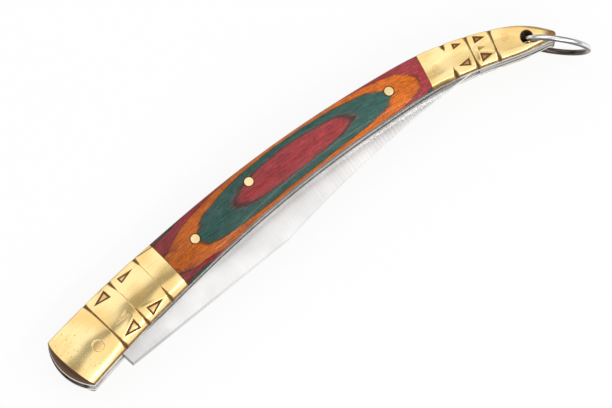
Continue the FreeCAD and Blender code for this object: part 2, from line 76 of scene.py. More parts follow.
towards_camera = Vector((
    math.sin(VIEW_AZIMUTH) * math.cos(VIEW_ELEVATION),
    -math.cos(VIEW_AZIMUTH) * math.cos(VIEW_ELEVATION),
    math.sin(VIEW_ELEVATION),
))
picture_right = Vector((math.cos(VIEW_AZIMUTH), math.sin(VIEW_AZIMUTH), 0))
picture_up = towards_camera.cross(picture_right)
sideways = picture_right * ((IMAGE_WIDTH / 2 - AIM_PIXEL[0]) / PIXELS_PER_METRE)
upwards = picture_up * ((AIM_PIXEL[1] - IMAGE_HEIGHT / 2) / PIXELS_PER_METRE)

lens = bpy.data.cameras.new("camera")
lens.sensor_width = 36
lens.lens = lens.sensor_width * PIXELS_PER_METRE * VIEW_DISTANCE / IMAGE_WIDTH
lens.clip_start = 0.1
lens.clip_end = 20
camera = bpy.data.objects.new("camera", lens)
camera.location = AIM + sideways + upwards + towards_camera * VIEW_DISTANCE
camera.rotation_euler = towards_camera.to_track_quat("Z", "Y").to_euler()
bpy.context.scene.collection.objects.link(camera)
bpy.context.scene.camera = camera
print("camera lens", round(lens.lens), "mm")

# %% [markdown]
# ## Writing shaders as sums
# A material is a net of nodes. Drawn by hand it soon gets hard to read, so this class wraps one socket,
# and plus, minus, times and divided by on it add the Math nodes. Any other node comes from `add`.

# %% Shader wires


class Wire:
    """One output socket of a node; sums of wires and numbers become Math nodes."""

    def __init__(self, tree, socket):
        self.tree = tree
        self.socket = socket

    def add(self, kind, inputs, output=0, **settings):
        """Any node: its type, what goes into its sockets, which output is handed on, and its settings."""
        node = self.tree.nodes.new(kind)
        for name, value in settings.items():
            setattr(node, name, value)
        for key, value in inputs.items():
            if isinstance(value, Wire):
                self.tree.links.new(value.socket, node.inputs[key])
            else:
                node.inputs[key].default_value = value
        return Wire(self.tree, node.outputs[output])

    def math(self, operation, *values):
        """Math node on these wires and numbers."""
        return self.add("ShaderNodeMath", dict(enumerate(values)), operation=operation)

    def __add__(self, other):
        return self.math("ADD", self, other)

    def __radd__(self, other):
        return self.math("ADD", other, self)

    def __sub__(self, other):
        return self.math("SUBTRACT", self, other)

    def __rsub__(self, other):
        return self.math("SUBTRACT", other, self)

    def __mul__(self, other):
        return self.math("MULTIPLY", self, other)

    def __rmul__(self, other):
        return self.math("MULTIPLY", other, self)

    def __truediv__(self, other):
        return self.math("DIVIDE", self, other)

    def __rtruediv__(self, other):
        return self.math("DIVIDE", other, self)

    def __abs__(self):
        return self.math("ABSOLUTE", self)

    def step(self, low, high):
        """0 at low, 1 at high, with a soft rise between; low may be the larger one."""
        inputs = {"Value": self, "From Min": low, "From Max": high}
        return self.add("ShaderNodeMapRange", inputs, interpolation_type="SMOOTHSTEP")

    def noise(self, stretch, detail=2.0, roughness=0.5, shift=0.0):
        """Cloudy values round 0.5 along this vector, stretched by one factor or by one for each axis."""
        scale = np.broadcast_to(stretch, 3).tolist()
        placing = {"Vector": self, "Location": (shift, shift, shift), "Scale": scale}
        placed = self.add("ShaderNodeMapping", placing)
        inputs = {"Vector": placed, "Scale": 1.0, "Detail": detail, "Roughness": roughness}
        return self.add("ShaderNodeTexNoise", inputs, output="Fac")

    def mix(self, first, second):
        """Colour from first to second as this value goes from 0 to 1."""
        return self.add("ShaderNodeMix", {0: self, 6: first, 7: second}, output=2, data_type="RGBA")

    def dim(self, colour, least):
        """Colour darkened to `least` of itself as this value goes from 0 to 1."""
        grey = self * (least - 1) + 1
        shade = self.add("ShaderNodeCombineColor", {0: grey, 1: grey, 2: grey})
        inputs = {0: 1.0, 6: colour, 7: shade}
        return self.add("ShaderNodeMix", inputs, output=2, data_type="RGBA", blend_type="MULTIPLY")

    def bump(self, reach):
        """Normal of a surface raised by this value times `reach` metres."""
        inputs = {"Height": self, "Strength": 1.0, "Distance": reach}
        return self.add("ShaderNodeBump", inputs, output="Normal")

    def parts(self):
        """The three numbers of this vector."""
        return [self.add("ShaderNodeSeparateXYZ", {0: self}, output=axis) for axis in range(3)]

    def vector(self, operation, other):
        """Vector Math with a constant vector: a vector, or a number for the dot product."""
        output = "Value" if operation == "DOT_PRODUCT" else "Vector"
        return self.add("ShaderNodeVectorMath", {0: self, 1: other}, output=output, operation=operation)


print("wires can be added, subtracted, multiplied and divided")

# %% [markdown]
# ## New materials
# Every finish starts the same way: with a material, its shader, and the place on the piece as a wire.
# The place is counted in millimetres, as all lengths of the knife are, and a colour is given as a screen
# shows it.

# %% New materials


def new_finish(name):
    """A material, its shader, and the place on the piece in millimetres as a wire."""
    material = bpy.data.materials.new(name)
    material.use_nodes = True
    tree = material.node_tree
    shader = tree.nodes["Principled BSDF"]
    spot = Wire(tree, None).add("ShaderNodeTexCoord", {}, output="Object")
    return material, shader, spot.vector("MULTIPLY", (1000, 1000, 1000))


def feed(shader, **values):
    """Puts wires or constants into the shader's sockets; Base_Color stands for Base Color."""
    for name, value in values.items():
        socket = shader.inputs[name.replace("_", " ")]
        if isinstance(value, Wire):
            value.tree.links.new(value.socket, socket)
        else:
            socket.default_value = value


def colour(red, green, blue):
    """A colour as a screen shows it, 0 to 255, in the linear light that shaders count in."""
    shown = np.array([red, green, blue]) / 255
    linear = np.where(shown <= 0.04045, shown / 12.92, ((shown + 0.055) / 1.055) ** 2.4)
    return (*linear.tolist(), 1.0)


print("mid grey is", round(colour(128, 128, 128)[0], 3), "in linear light")

# %% [markdown]
# ## Floor
# The photograph has a plain white ground. The floor shows white to the camera and to mirrors,
# but keeps a little of the shadow. It tilts by about one degree, because the knife rests on the crown
# of its lower scale and on the ring, which reaches lower.

# %% Floor
ring_low, ring_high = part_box("lanyard_ring")
crown_low, crown_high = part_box("scale_red_bottom")
ring_foot = ((ring_low.x + ring_high.x) / 2, ring_low.z)
crown_foot = ((crown_low.x + crown_high.x) / 2, crown_low.z)
floor_slope = (ring_foot[1] - crown_foot[1]) / (ring_foot[0] - crown_foot[0])
FLOOR_HALF, FLOOR_CLEAR = 3.0, 1e-4
reach = np.array([-FLOOR_HALF, FLOOR_HALF])
floor_x, floor_y = np.meshgrid(reach, reach)
floor_z = crown_foot[1] + floor_slope * (floor_x - crown_foot[0]) - FLOOR_CLEAR
floor_points = np.stack([floor_x, floor_y, floor_z], -1).reshape(-1, 3)
floor_mesh = bpy.data.meshes.new("floor")
floor_mesh.from_pydata(floor_points.tolist(), [], [(0, 1, 3, 2)])
floor = bpy.data.objects.new("floor", floor_mesh)
bpy.context.scene.collection.objects.link(floor)

FLOOR_GLOW = 0.88
paper, paper_shader, _ = new_finish("white paper")
feed(paper_shader, Base_Color=(0.85, 0.85, 0.85, 1), Roughness=0.9)
tree = paper.node_tree
start = Wire(tree, None)
seen = start.add("ShaderNodeLightPath", {}, output="Is Camera Ray")
mirrored = start.add("ShaderNodeLightPath", {}, output="Is Glossy Ray")
glow = start.add("ShaderNodeEmission", {"Color": (1, 1, 1, 1), "Strength": 1.0})
share = start.math("MAXIMUM", seen, mirrored) * FLOOR_GLOW
lit = Wire(tree, paper_shader.outputs[0])
shown = start.add("ShaderNodeMixShader", {0: share, 1: lit, 2: glow})
tree.links.new(shown.socket, tree.nodes["Material Output"].inputs["Surface"])
floor_mesh.materials.append(paper)
print("floor tilts", round(math.degrees(math.atan(floor_slope)), 2), "degrees")

# %% [markdown]
# ## Light
# Two broad soft lights stand over the back and the belly. The darker strip between them shows as the dull
# band along the polished brass, and a narrow bright strip low at the belly side gives the pale line on that
# slope. The rear bolster shows no dull band, so a small lamp closes the gap there.
# A lamp is placed by two angles from overhead, counted towards the belly, between which it reaches.

# %% Lamps and room
ROOM_LIGHT = 0.4
LAMP_RADIANCE = 0.67
STRIP_RADIANCE = 5.0
FILL_RADIANCE = 0.52
LAMP_FAR = 68
LAMP_GAP = (-14.5, -1.5)
STRIP = (35.0, 39.5)
FILL = (-16.0, 0.0)
LAMP_DISTANCE, STRIP_DISTANCE, FILL_DISTANCE = 1.0, 0.9, 0.5
LAMP_LENGTH, FILL_LENGTH, FILL_SHIFT = 2.0, 0.17, 0.215
belly_side = Vector((0.3, -0.95, 0)).normalized()


def softbox(name, low, high, distance, radiance, length=LAMP_LENGTH, shift=0.0):
    """Area lamp that reaches from one angle to another; its power is 4 times radiance times area.

    It runs along the handle for its length, and the shift moves it towards the tail."""
    tilt = math.radians(low + high) / 2
    away = belly_side * math.sin(tilt) + Vector((0, 0, math.cos(tilt)))
    lamp = bpy.data.lights.new(name, "AREA")
    lamp.shape = "RECTANGLE"
    lamp.size = length
    lamp.size_y = 2 * distance * math.tan(math.radians(high - low) / 2)
    lamp.energy = 4 * radiance * lamp.size * lamp.size_y
    along = belly_side.cross(Vector((0, 0, 1)))
    turn = Matrix((along, away.cross(along), away)).transposed()
    lamp_object = bpy.data.objects.new(name, lamp)
    lamp_object.location = away * distance - along * shift
    lamp_object.rotation_euler = turn.to_euler()
    bpy.context.scene.collection.objects.link(lamp_object)


softbox("lamp over the back", -LAMP_FAR, LAMP_GAP[0], LAMP_DISTANCE, LAMP_RADIANCE)
softbox("lamp at the belly", LAMP_GAP[1], LAMP_FAR, LAMP_DISTANCE, LAMP_RADIANCE)
softbox("strip at the belly", *STRIP, STRIP_DISTANCE, STRIP_RADIANCE)
softbox("fill over the tail", *FILL, FILL_DISTANCE, FILL_RADIANCE, FILL_LENGTH, FILL_SHIFT)

room = bpy.data.worlds.new("room")
room.use_nodes = True
bpy.context.scene.world = room
start = Wire(room.node_tree, None)
seen = start.add("ShaderNodeLightPath", {}, output="Is Camera Ray")
level = seen * (1 - ROOM_LIGHT) + ROOM_LIGHT
room_background = room.node_tree.nodes["Background"]
room.node_tree.links.new(level.socket, room_background.inputs["Strength"])
room_background.inputs["Color"].default_value = (1, 1, 1, 1)
bpy.context.scene.view_settings.view_transform = "Standard"
print("four lamps and a room of", ROOM_LIGHT)

# %% [markdown]
# ## The handle's own coordinates
# The handle is curved, so places on it are easier to give along and across it than in x and y.
# A station is a length along the back edge from its front corner, and a depth is measured from there towards
# the belly. The back edge is three tangent arcs, and whole arrays of places are turned into points at once.

# %% Handle coordinates
FRONT_HEADING = math.radians(14.5)
BACK_ARCS = ((334.0, 96.0), (76.0, 26.0), (22.0, 11.6))
BACK_END = sum(length for radius, length in BACK_ARCS)
FRONT_JUNCTION = 31.0
REAR_JUNCTION = BACK_END - 31.2
SCALE_MIDDLE = (FRONT_JUNCTION + REAR_JUNCTION) / 2
HOLE_PLACE = (BACK_END - 5.8, 2.6)
PIVOT_PLACE = (6.7, 8.75)
LINER_BASE = 1.3
LINER_TOP = 2.3


def on_back(station):
    """x, y and heading on the back edge: an arc turns by its run over its radius."""
    left = np.asarray(station, float)
    x, y, heading = 0 * left, 0 * left, 0 * left + FRONT_HEADING
    for number, (radius, length) in enumerate(BACK_ARCS):
        least = None if number == 0 else 0
        most = None if number == len(BACK_ARCS) - 1 else length
        run = np.clip(left, least, most)
        turned = heading - run / radius
        x = x + radius * (np.sin(heading) - np.sin(turned))
        y = y - radius * (np.cos(heading) - np.cos(turned))
        heading = turned
        left = left - run
    return x, y, heading


def place(station, depth, height, origin=np.zeros(3)):
    """Points along the back edge and then square to it; height is from the middle plane."""
    station, depth, height = np.broadcast_arrays(*map(np.asarray, (station, depth, height)))
    x, y, heading = on_back(station)
    x, y = x + depth * np.sin(heading), y - depth * np.cos(heading)
    return np.stack([x, y, height + 0 * x], -1) + origin


ORIGIN = pivot - place(*PIVOT_PLACE, 0.0)


def smooth_through(points, position):
    """Cubic pieces through (position, value) points; each point's slope is that of its neighbours' chord."""
    at, value = np.array(points, float).T
    number = np.arange(len(at))
    before, after = np.maximum(number - 1, 0), np.minimum(number + 1, len(at) - 1)
    slope = (value[after] - value[before]) / (at[after] - at[before])
    i = np.clip(np.searchsorted(at, position) - 1, 0, len(at) - 2)
    span = at[i + 1] - at[i]
    t = (position - at[i]) / span
    c = np.clip(t, 0, 1)
    start = (1 + 2 * c) * (1 - c) ** 2 * value[i] + c * (1 - c) ** 2 * span * slope[i]
    end = c ** 2 * (3 - 2 * c) * value[i + 1] + c ** 2 * (c - 1) * span * slope[i + 1]
    beyond = (slope[i] * np.minimum(t, 0) + slope[i + 1] * np.maximum(t - 1, 0)) * span
    return start + end + beyond


# each row: station, depth of the handle there
DEPTHS = (
    (0.0, 13.75),
    (FRONT_JUNCTION, 12.5),
    (SCALE_MIDDLE, 10.35),
    (REAR_JUNCTION, 8.6),
    (BACK_END - 13.3, 7.25),
    (HOLE_PLACE[0], 5.8),
    (BACK_END, 2.3),
)


def depth_at(station):
    """Depth of the handle from back to belly; past the ends it keeps the ends' values."""
    return smooth_through(DEPTHS, np.clip(station, 0, BACK_END))


whole_back = place(np.linspace(0, BACK_END), 0.0, 0.0)
print("handle", round(float(np.ptp(whole_back[:, 0])), 1), "mm along its back")

# %% [markdown]
# ## Closed pieces from a grid
# A bolster or a veneer is a sheet of points with a top and a foot. The same net of four-sided faces serves
# both, and wherever an edge of the net has a face on one side only, a wall joins top and foot.
# A Solidify modifier could give it a wall too, but only of one thickness. This works for any two sheets,
# also for a net with a hole, and the piece is closed.

# %% Piece maker
# in metres: points nearer to each other than this are one point
SAME_PLACE = 2e-8
WALL_LIP = 0.12
SHARP = math.radians(35)


def net(rows, columns):
    """Four-sided faces of a grid of points, counted row by row."""
    i, j = np.meshgrid(np.arange(rows - 1), np.arange(columns - 1), indexing="ij")
    first = (i * columns + j).ravel()
    return np.stack([first, first + 1, first + columns + 1, first + columns], -1)


def between(top, foot, faces):
    """Points and faces of the closed body between two sheets that share one net.

    The walls bend at a lip, a share of the way from top to foot, so that a finish can change there."""
    count = len(top)
    start, end = faces.ravel(), np.roll(faces, -1, 1).ravel()
    rim = ~np.isin(start * count + end, end * count + start)
    start, end = start[rim], end[rim]
    upper = np.stack([end, start, start + count, end + count], -1)
    points = np.concatenate([top, top + (foot - top) * WALL_LIP, foot])
    return points, np.concatenate([faces, upper, upper + count, faces[:, ::-1] + 2 * count])


def make_piece(name, points, faces, finish, body, tarnish_and_shade=None):
    """Object from points in millimetres: unused points go, doubled ones merge, and faces turn outwards.

    Edges that bend less than the sharp angle are smoothed."""
    used = np.unique(faces)
    mesh = bpy.data.meshes.new(name)
    mesh.from_pydata((points[used] / 1000).tolist(), [], np.searchsorted(used, faces).tolist())
    if tarnish_and_shade is not None:
        layer = mesh.attributes.new("tarnish_and_shade", "FLOAT", "POINT")
        layer.data.foreach_set("value", np.ascontiguousarray(tarnish_and_shade[used], np.float32))
    shape = bmesh.new()
    shape.from_mesh(mesh)
    bmesh.ops.remove_doubles(shape, verts=shape.verts, dist=SAME_PLACE)
    bmesh.ops.recalc_face_normals(shape, faces=shape.faces)
    shape.to_mesh(mesh)
    shape.free()
    mesh.shade_smooth()
    mesh.set_sharp_from_angle(angle=SHARP)
    mesh.materials.append(finish)
    piece = bpy.data.objects.new(name, mesh)
    bpy.context.scene.collection.objects.link(piece)
    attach(piece, body)
    return piece


def both_sides(name, points, faces, finish, tarnish_and_shade=None):
    """The piece on the top side and its mirror image on the bottom side, each for its CAD node."""
    for side, sign in (("top", 1), ("bottom", -1)):
        node = name + "_" + side
        placed = points * (1, 1, sign) + ORIGIN
        piece = make_piece(node + "_shaped", placed, faces, finish, "handle", tarnish_and_shade)
        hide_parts(node)
    print(name, "twice with", len(piece.data.polygons), "faces each")


print("a grid of 3 by 4 points has", len(net(3, 4)), "faces")

# %% [markdown]
# ## Soft curves
# Filed and worn metal has few hard steps, so its shapes are blended. One curve crowds the lines of a grid
# together where a surface bends most, two rise and fall softly between limits, and one rounds an edge.

# %% Soft curves


def eased(count, crowd):
    """Numbers from 0 to 1 that crowd together at both ends."""
    t = np.linspace(0, 1, count)
    return t - crowd * np.sin(2 * np.pi * t) / (2 * np.pi)


def rise(value, low, high):
    """0 below low, 1 above high, with a soft rise between."""
    t = np.clip((value - low) / (high - low), 0, 1)
    return t * t * (3 - 2 * t)


def fall(value, low, high):
    """1 below low, 0 above high, with a soft fall between."""
    return 1 - rise(value, low, high)


def worn_edge(distance, radius):
    """Drop of a rounded edge: a quarter circle over the last `radius` of the way to the border."""
    t = 1 - np.clip(distance / radius, 0, 1)
    return radius * (1 - np.sqrt(1 - t * t))


print("a quarter of the way along, a soft rise has come to", rise(0.25, 0, 1))

# %% [markdown]
# ## Polished brass
# The bolsters are brass, polished by hand and by the pocket: bright and slightly uneven, with fine scratches
# along the handle, small pits, and brown tarnish left in every filed groove and punched triangle.
# The tarnish, and the painted shade on the walls and ends, the worn long edges, the rear bevel and round the
# tail hole, come with the mesh as one number for each point, so they follow the cuts exactly, and noise
# breaks them up.
# Clean brass is a metal, so its colour is the colour of its reflections; tarnish and painted shade are a dull
# crust, so they turn less metallic and rough.

# %% Brass finishes
BACK_RADIUS = BACK_ARCS[0][0]
inwards = np.array([math.sin(FRONT_HEADING), -math.cos(FRONT_HEADING), 0])
back_centre = ORIGIN + BACK_RADIUS * inwards
# limits of soft changes: in noise, in stations and in tarnish
CLOUDY = (0.35, 0.65)
HANDLED = (8.0, 2.0)
PITTED = (0.72, 0.77)
# the tarnish limits and browns below also carry painted shade on the bolsters' walls and edges
GRIME_AND_SHADE_SPAN, CRUST_AND_SHADE_SPAN = (0.05, 0.95), (0.9, 2.0)
PIT_BROWN, GRIME_AND_SHADE_BROWN, CRUST_AND_SHADE_BROWN = colour(120, 78, 34), colour(120, 76, 28), colour(52, 32, 12)
BRASS_RELIEF = 4e-6


def handle_place(spot):
    """Station, depth and height from the middle plane as wires, and the three as one vector.

    They are counted from the circle that the back edge starts on."""
    x, y, z = spot.vector("SUBTRACT", (*back_centre[:2].tolist(), float(pivot[2]))).parts()
    radius = spot.math("SQRT", x * x + y * y)
    station = (spot.math("ARCTAN2", x, y) + FRONT_HEADING) * BACK_RADIUS
    depth, height = BACK_RADIUS - radius, abs(z)
    return station, depth, height, spot.add("ShaderNodeCombineXYZ", {0: station, 1: depth, 2: height})


def brass(name, gold, pale, pits, rough, waves):
    """Brass with handling marks: noise picks a tone between two golds, and pits, tarnish and painted shade
    darken it.

    `pits` is how much of it is pitted, `waves` how uneven its polish is."""
    material, shader, spot = new_finish(name)
    station, depth, height, along = handle_place(spot)
    clouds = spot.noise(0.17, 0.0)
    smears = along.noise((0.25, 1.4, 1.4), 4, 0.6, 7.3)
    scratches = along.noise((0.6, 16, 16), 3, 0.6, 3.1)
    specks = spot.noise(2.2, 3, 0.65, 11.0)
    pitted = (specks + station.step(*HANDLED) * 0.1 + pits).step(*PITTED)
    # this number holds the tarnish and also the painted shade on walls and edges
    tarnish_and_shade = spot.add("ShaderNodeAttribute", {}, output="Fac", attribute_name="tarnish_and_shade")
    patchy = spot.noise(1.1, 3, 0.6, 17.0)
    grime_and_shade = (tarnish_and_shade * (0.5 + patchy)).step(*GRIME_AND_SHADE_SPAN)
    tone = (clouds * 0.6 + smears * 0.4).step(*CLOUDY).mix(gold, pale)
    tone = (pitted * 0.75).mix(tone, PIT_BROWN)
    tone = grime_and_shade.mix(tone, GRIME_AND_SHADE_BROWN)
    tone = tarnish_and_shade.step(*CRUST_AND_SHADE_SPAN).mix(tone, CRUST_AND_SHADE_BROWN)
    roughness = rough + 0.06 * scratches + 0.05 * smears + 0.3 * pitted + 0.35 * grime_and_shade
    relief = scratches * 0.12 + clouds * waves - pitted * 2.0
    metal = 1 - 0.6 * grime_and_shade
    feed(shader, Base_Color=tone, Metallic=metal, Roughness=roughness, Normal=relief.bump(BRASS_RELIEF))
    return material


bolster_brass = brass(
    "polished brass", colour(232, 198, 130), colour(246, 220, 160), pits=0.0, rough=0.13, waves=60.0)
pin_brass = brass(
    "pin brass", colour(238, 210, 150), colour(252, 232, 184), pits=0.05, rough=0.34, waves=1.0)
flush_brass = brass(
    "flush pin brass", colour(228, 188, 122), colour(240, 206, 144), pits=0.02, rough=0.16, waves=40.0)
print("brass finishes made")

# %% [markdown]
# ## Domes
# A bolster is a domed cap of brass. Across the handle its height falls from a crown line to both edges,
# slowly at first and then faster. A subdivided cage could be pulled to that shape by hand, but as a height
# over station and depth it is one plain sum, and every cut that follows can simply be taken from it.

# %% Domes
# each row: station, height of the crown, height of the edges, shift of the crown line, share of late drop
FRONT_HEIGHTS = np.array((
    (-3.4, 2.4, 0.95, 0.13, 0.35),
    (PIVOT_PLACE[0], 2.4, 0.95, 0.15, 0.35),
    (FRONT_JUNCTION, 2.05, 0.5, 0.33, 0.35),
))
REAR_HEIGHTS = np.array((
    (REAR_JUNCTION, 1.55, 0.95, 0.34, 0.35),
    (BACK_END - 19.75, 1.4, 0.8, 0.25, 0.7),
    (BACK_END - 14.35, 1.4, 0.8, 0.2, 0.8),
    (BACK_END + 1.9, 1.4, 0.8, 0.17, 0.8),
))


def dome(share, crown, edge, shift, late):
    """Crown less the drop, which goes with the square and the fourth power of the way out."""
    out = (share - shift) / np.where(share > shift, 1 - shift, 1 + shift)
    return crown - (crown - edge) * ((1 - late) * out ** 2 + late * out ** 4)


def bolster_height(rows, station, depth):
    """Dome of a bolster over the liner, with its shape passing smoothly through the rows."""
    shape = [smooth_through(rows[:, [0, k]], station) for k in range(1, 5)]
    return dome(2 * depth / depth_at(station) - 1, *shape)


pivot_height = float(bolster_height(FRONT_HEIGHTS, *PIVOT_PLACE))
print("front dome is", round(pivot_height, 2), "mm over the liner at the pivot")

# %% [markdown]
# ## Filed grooves and punched triangles
# A file has cut grooves across the brass that are deepest at the edges, and a punch has left triangles,
# with a low lip round the hard-punched ones. Booleans could cut them, but they leave ragged faces behind.
# Here a groove is the lower of the dome and a V under it, and a triangle sinks with the distance inwards
# from its nearest side, so the grid stays even and the tarnish knows how deep it lies.

# %% Grooves and triangles
GROOVE_SLOPE = 1 / math.tan(math.radians(57))
GROOVE_DEEP = (0.24, 0.36)
GROOVE_FADE = 1.5
GROOVE_FULL, GROOVE_OUT = 0.4, 0.05


def filed(height, station, depth, ends, reaches, middle_cut, faint_cut=0.0):
    """Lowest of the surface and a V-shaped groove under it.

    The groove is middle_cut deep and deeper towards the edges, where it fades in over a millimetre or so.
    From each edge it reaches some millimetres in, or right across where reaches is None.
    Between those reaches it may go on as a faint cut."""
    across = depth_at(station)
    off = np.abs(station - (ends[0] + (ends[1] - ends[0]) * depth / across))
    cut = np.full(np.shape(station), middle_cut if reaches is None else faint_cut)
    for number, from_edge in enumerate((depth, across - depth)):
        deep = middle_cut + GROOVE_DEEP[number] * np.exp(-from_edge / GROOVE_FADE)
        if reaches is not None:
            reach = reaches[number]
            deep = deep - (middle_cut + GROOVE_OUT) * rise(from_edge, GROOVE_FULL * reach, reach)
        cut = np.maximum(cut, deep)
    return np.minimum(height, height - cut + off * GROOVE_SLOPE), cut


def inside_triangle(station, depth, base, apex, share, half_base):
    """Distance inwards from the nearest side of a triangle, in millimetres; less than nothing outside."""
    corners = np.array([
        (base, float(depth_at(base)) * share - half_base),
        (base, float(depth_at(base)) * share + half_base),
        (apex, float(depth_at(apex)) * share),
    ])
    if apex > base:
        corners = corners[::-1]
    inward = np.full(np.shape(station), np.inf)
    for start, end in zip(corners, np.roll(corners, -1, 0)):
        along = (end - start) / np.linalg.norm(end - start)
        inward = np.minimum(inward, -(station - start[0]) * along[1] + (depth - start[1]) * along[0])
    return inward


# soil is an amount of tarnish, and on walls and edges an amount of painted shade: 1 is brown and 2 nearly
# black
GROOVE_SOIL, DEEP_SOIL, DEEP_CUT, LEAST_CUT = 0.9, 1.6, 0.2, 0.05
PUNCH_DEPTH = 0.33
PUNCH_WALL = 0.42
PUNCH_FLOOR = (0.7 * PUNCH_WALL, 1.25 * PUNCH_WALL)
HARD_PUNCH = (0.8, 1.0)
PUNCH_LIP = 0.035
LIP_OUT, LIP_WIDTH = 0.28, 0.3
HATCH_PITCH, HATCH_SLANT, HATCH_RELIEF = 0.34, 0.8, 0.2
WALL_SOIL, FLOOR_SOIL, HATCH_SOIL = 1.25, 0.36, 0.6


def cut_bolster(rows, station, depth, grooves, triangles, hatch):
    """Height of the dome less every cut, and the tarnish that lies in the cuts.

    `hatch` is how strongly the floors of the triangles are lined."""
    height = bolster_height(rows, station, depth)
    tarnish_and_shade = np.zeros(np.shape(station))
    for groove in grooves:
        filed_height, cut = filed(height, station, depth, *groove)
        soil_and_shade = rise((height - filed_height) / np.maximum(cut, LEAST_CUT), 0.1, 0.75)
        tarnish_and_shade = np.maximum(tarnish_and_shade, soil_and_shade * (GROOVE_SOIL + DEEP_SOIL * np.clip(cut - DEEP_CUT, 0, 1)))
        height = filed_height
    for *corners, bite in triangles:
        inward = inside_triangle(station, depth, *corners)
        floor = rise(inward, *PUNCH_FLOOR)
        wave = np.sin(2 * np.pi * (station * HATCH_SLANT + depth) / HATCH_PITCH)
        lines = hatch * (0.5 + 0.5 * wave)
        sunk = rise(inward, 0.0, PUNCH_WALL) - HATCH_RELIEF * lines * floor
        lip = rise(bite, *HARD_PUNCH) * np.exp(-((inward + LIP_OUT) / LIP_WIDTH) ** 2)
        height = height - PUNCH_DEPTH * bite * sunk + PUNCH_LIP * lip
        soil_and_shade = WALL_SOIL * rise(inward, -0.04, 0.08) * (1 - floor)
        soil_and_shade = soil_and_shade + floor * (FLOOR_SOIL + HATCH_SOIL * (hatch - lines))
        tarnish_and_shade = np.maximum(tarnish_and_shade, bite * soil_and_shade)
    return height, tarnish_and_shade


print("triangles are punched", PUNCH_DEPTH, "mm deep")

# %% [markdown]
# ## Seat of the pivot pin
# The pivot pin is riveted over and ground flush, and what shows is a fine ring round it. So its seat is sunk
# a little, a hair wider than the pin, and the pin's own head fills it. That is lighter than cutting a hole,
# and the ring comes from the gap that is left.

# %% Pivot seat
PIVOT_RADIUS = 1.25
SEAT_INSIDE, SEAT_GAP = 0.04, 0.05
SEAT_DEPTH = 0.14
SEAT_LINE, SEAT_LINE_WIDTH = 0.02, (0.03, 0.15)


def seat(height, tarnish_and_shade, station, depth, pin_place, radius, soil_and_shade):
    """Sinks a round seat for a pin and darkens its ring, both by the distance from the pin's middle."""
    out = np.hypot(station - pin_place[0], depth - pin_place[1])
    sunk = fall(out, radius - SEAT_INSIDE, radius + SEAT_GAP)
    ring = fall(np.abs(out - radius - SEAT_LINE), *SEAT_LINE_WIDTH)
    return height - SEAT_DEPTH * sunk, np.maximum(tarnish_and_shade, soil_and_shade * ring)


print("the seat is", SEAT_DEPTH, "mm deep")

# %% [markdown]
# ## Ends and edges
# Both bolsters end in an arc, and handling has rounded their long edges; a thin brown line of painted shade
# lies on them.
# A Bevel modifier would round every edge alike, so here each edge is lowered by a quarter circle of its own.

# %% Ends and edges
BACK_WEAR, BELLY_WEAR = 0.14, 0.4
# painted shade: the brown line on the rounded back and belly edges
BACK_EDGE_SHADE, BELLY_EDGE_SHADE = 0.6, 0.75
JOINT_SOIL, JOINT_WIDTH = 1.2, (0.05, 0.26)
# painted shade on the walls of the bolsters, at their lip and at their foot
WALL_SHADE, WALL_FOOT_SHADE = 0.6, 0.3


def end_arc(share, chord, bulge):
    """How far an arc over a chord stands out, from nothing at both ends to `bulge` in the middle."""
    radius = (chord ** 2 / 4 + bulge ** 2) / (2 * bulge)
    return np.sqrt(radius ** 2 - (chord * (share - 0.5)) ** 2) - (radius - bulge)


def long_edges(height, tarnish_and_shade, station, depth):
    """Rounds the edges at the back and at the belly and paints a thin brown line of shade on them."""
    belly = depth_at(station) - depth
    height = height - worn_edge(depth, BACK_WEAR) - worn_edge(belly, BELLY_WEAR)
    soil_and_shade = np.maximum(BACK_EDGE_SHADE * fall(depth, 0.0, 0.25), BELLY_EDGE_SHADE * fall(belly, 0.12, 0.45))
    return height, np.maximum(tarnish_and_shade, soil_and_shade)


print("edges are worn by", BACK_WEAR, "mm at the back and", BELLY_WEAR, "mm at the belly")

# %% [markdown]
# ## Front bolsters
# The front bolster's end is an arc that leans back from the liner to the crown, and a flat is filed along
# its back edge, up to the scale. Rows of the grid run across the handle and columns along it,
# and they crowd together at the edges, where the brass is worn round.

# %% Front bolsters
# each groove: its places at the back and at the belly, how far it reaches from there, its depth, faint depth
FRONT_GROOVES = (
    ((11.3, 11.2), None, 0.19),
    ((18.6, 18.55), (3.9, 7.0), 0.16, 0.075),
    ((26.1, 26.05), (2.7, 5.3), 0.16, 0.055),
)
# each triangle: place of its base, of its apex, share of the depth, half of its base, how hard it was punched
FRONT_TRIANGLES = (
    (16.6, 12.4, 0.14, 1.2, 1.0),
    (16.9, 12.2, 0.61, 0.75, 0.4),
    (16.6, 12.2, 0.85, 1.3, 1.0),
    (20.4, 24.6, 0.125, 0.85, 0.85),
    (20.4, 24.7, 0.86, 1.2, 1.0),
)
FRONT_HATCH, PIVOT_SOIL = 0.12, 0.45
END_BULGE, END_TOP_BULGE = 2.4, 1.2
CHAMFER_LENGTH, CHAMFER_WIDTH, CHAMFER_DROP = 5.2, 0.85, 0.75
# painted shade on the end's rim, lip and foot; the crease of the back flat is tarnish
END_RIM_SHADE, CREASE_SOIL = 1.3, 0.8
END_LIP_SHADE, END_FOOT_SHADE = 1.9, 1.05
FRONT_ROWS, FRONT_COLUMNS = eased(350, 0.6), eased(136, 0.75)


def back_flat(height, tarnish_and_shade, station, depth):
    """Lowest of the dome and a flat along the back edge that sinks up to the scale; its crease is brown."""
    start = FRONT_JUNCTION - CHAMFER_LENGTH
    low = float(bolster_height(FRONT_HEIGHTS, start, 0.0))
    high = float(bolster_height(FRONT_HEIGHTS, FRONT_JUNCTION, CHAMFER_WIDTH))
    way = (station - start) / CHAMFER_LENGTH
    flat = low + (high - low - CHAMFER_DROP) * way + CHAMFER_DROP * depth / CHAMFER_WIDTH
    crease = fall(np.abs(height - flat), 0.02, 0.09) * rise(way, 0.1, 0.35)
    return np.minimum(height, flat), np.maximum(tarnish_and_shade, CREASE_SOIL * crease)


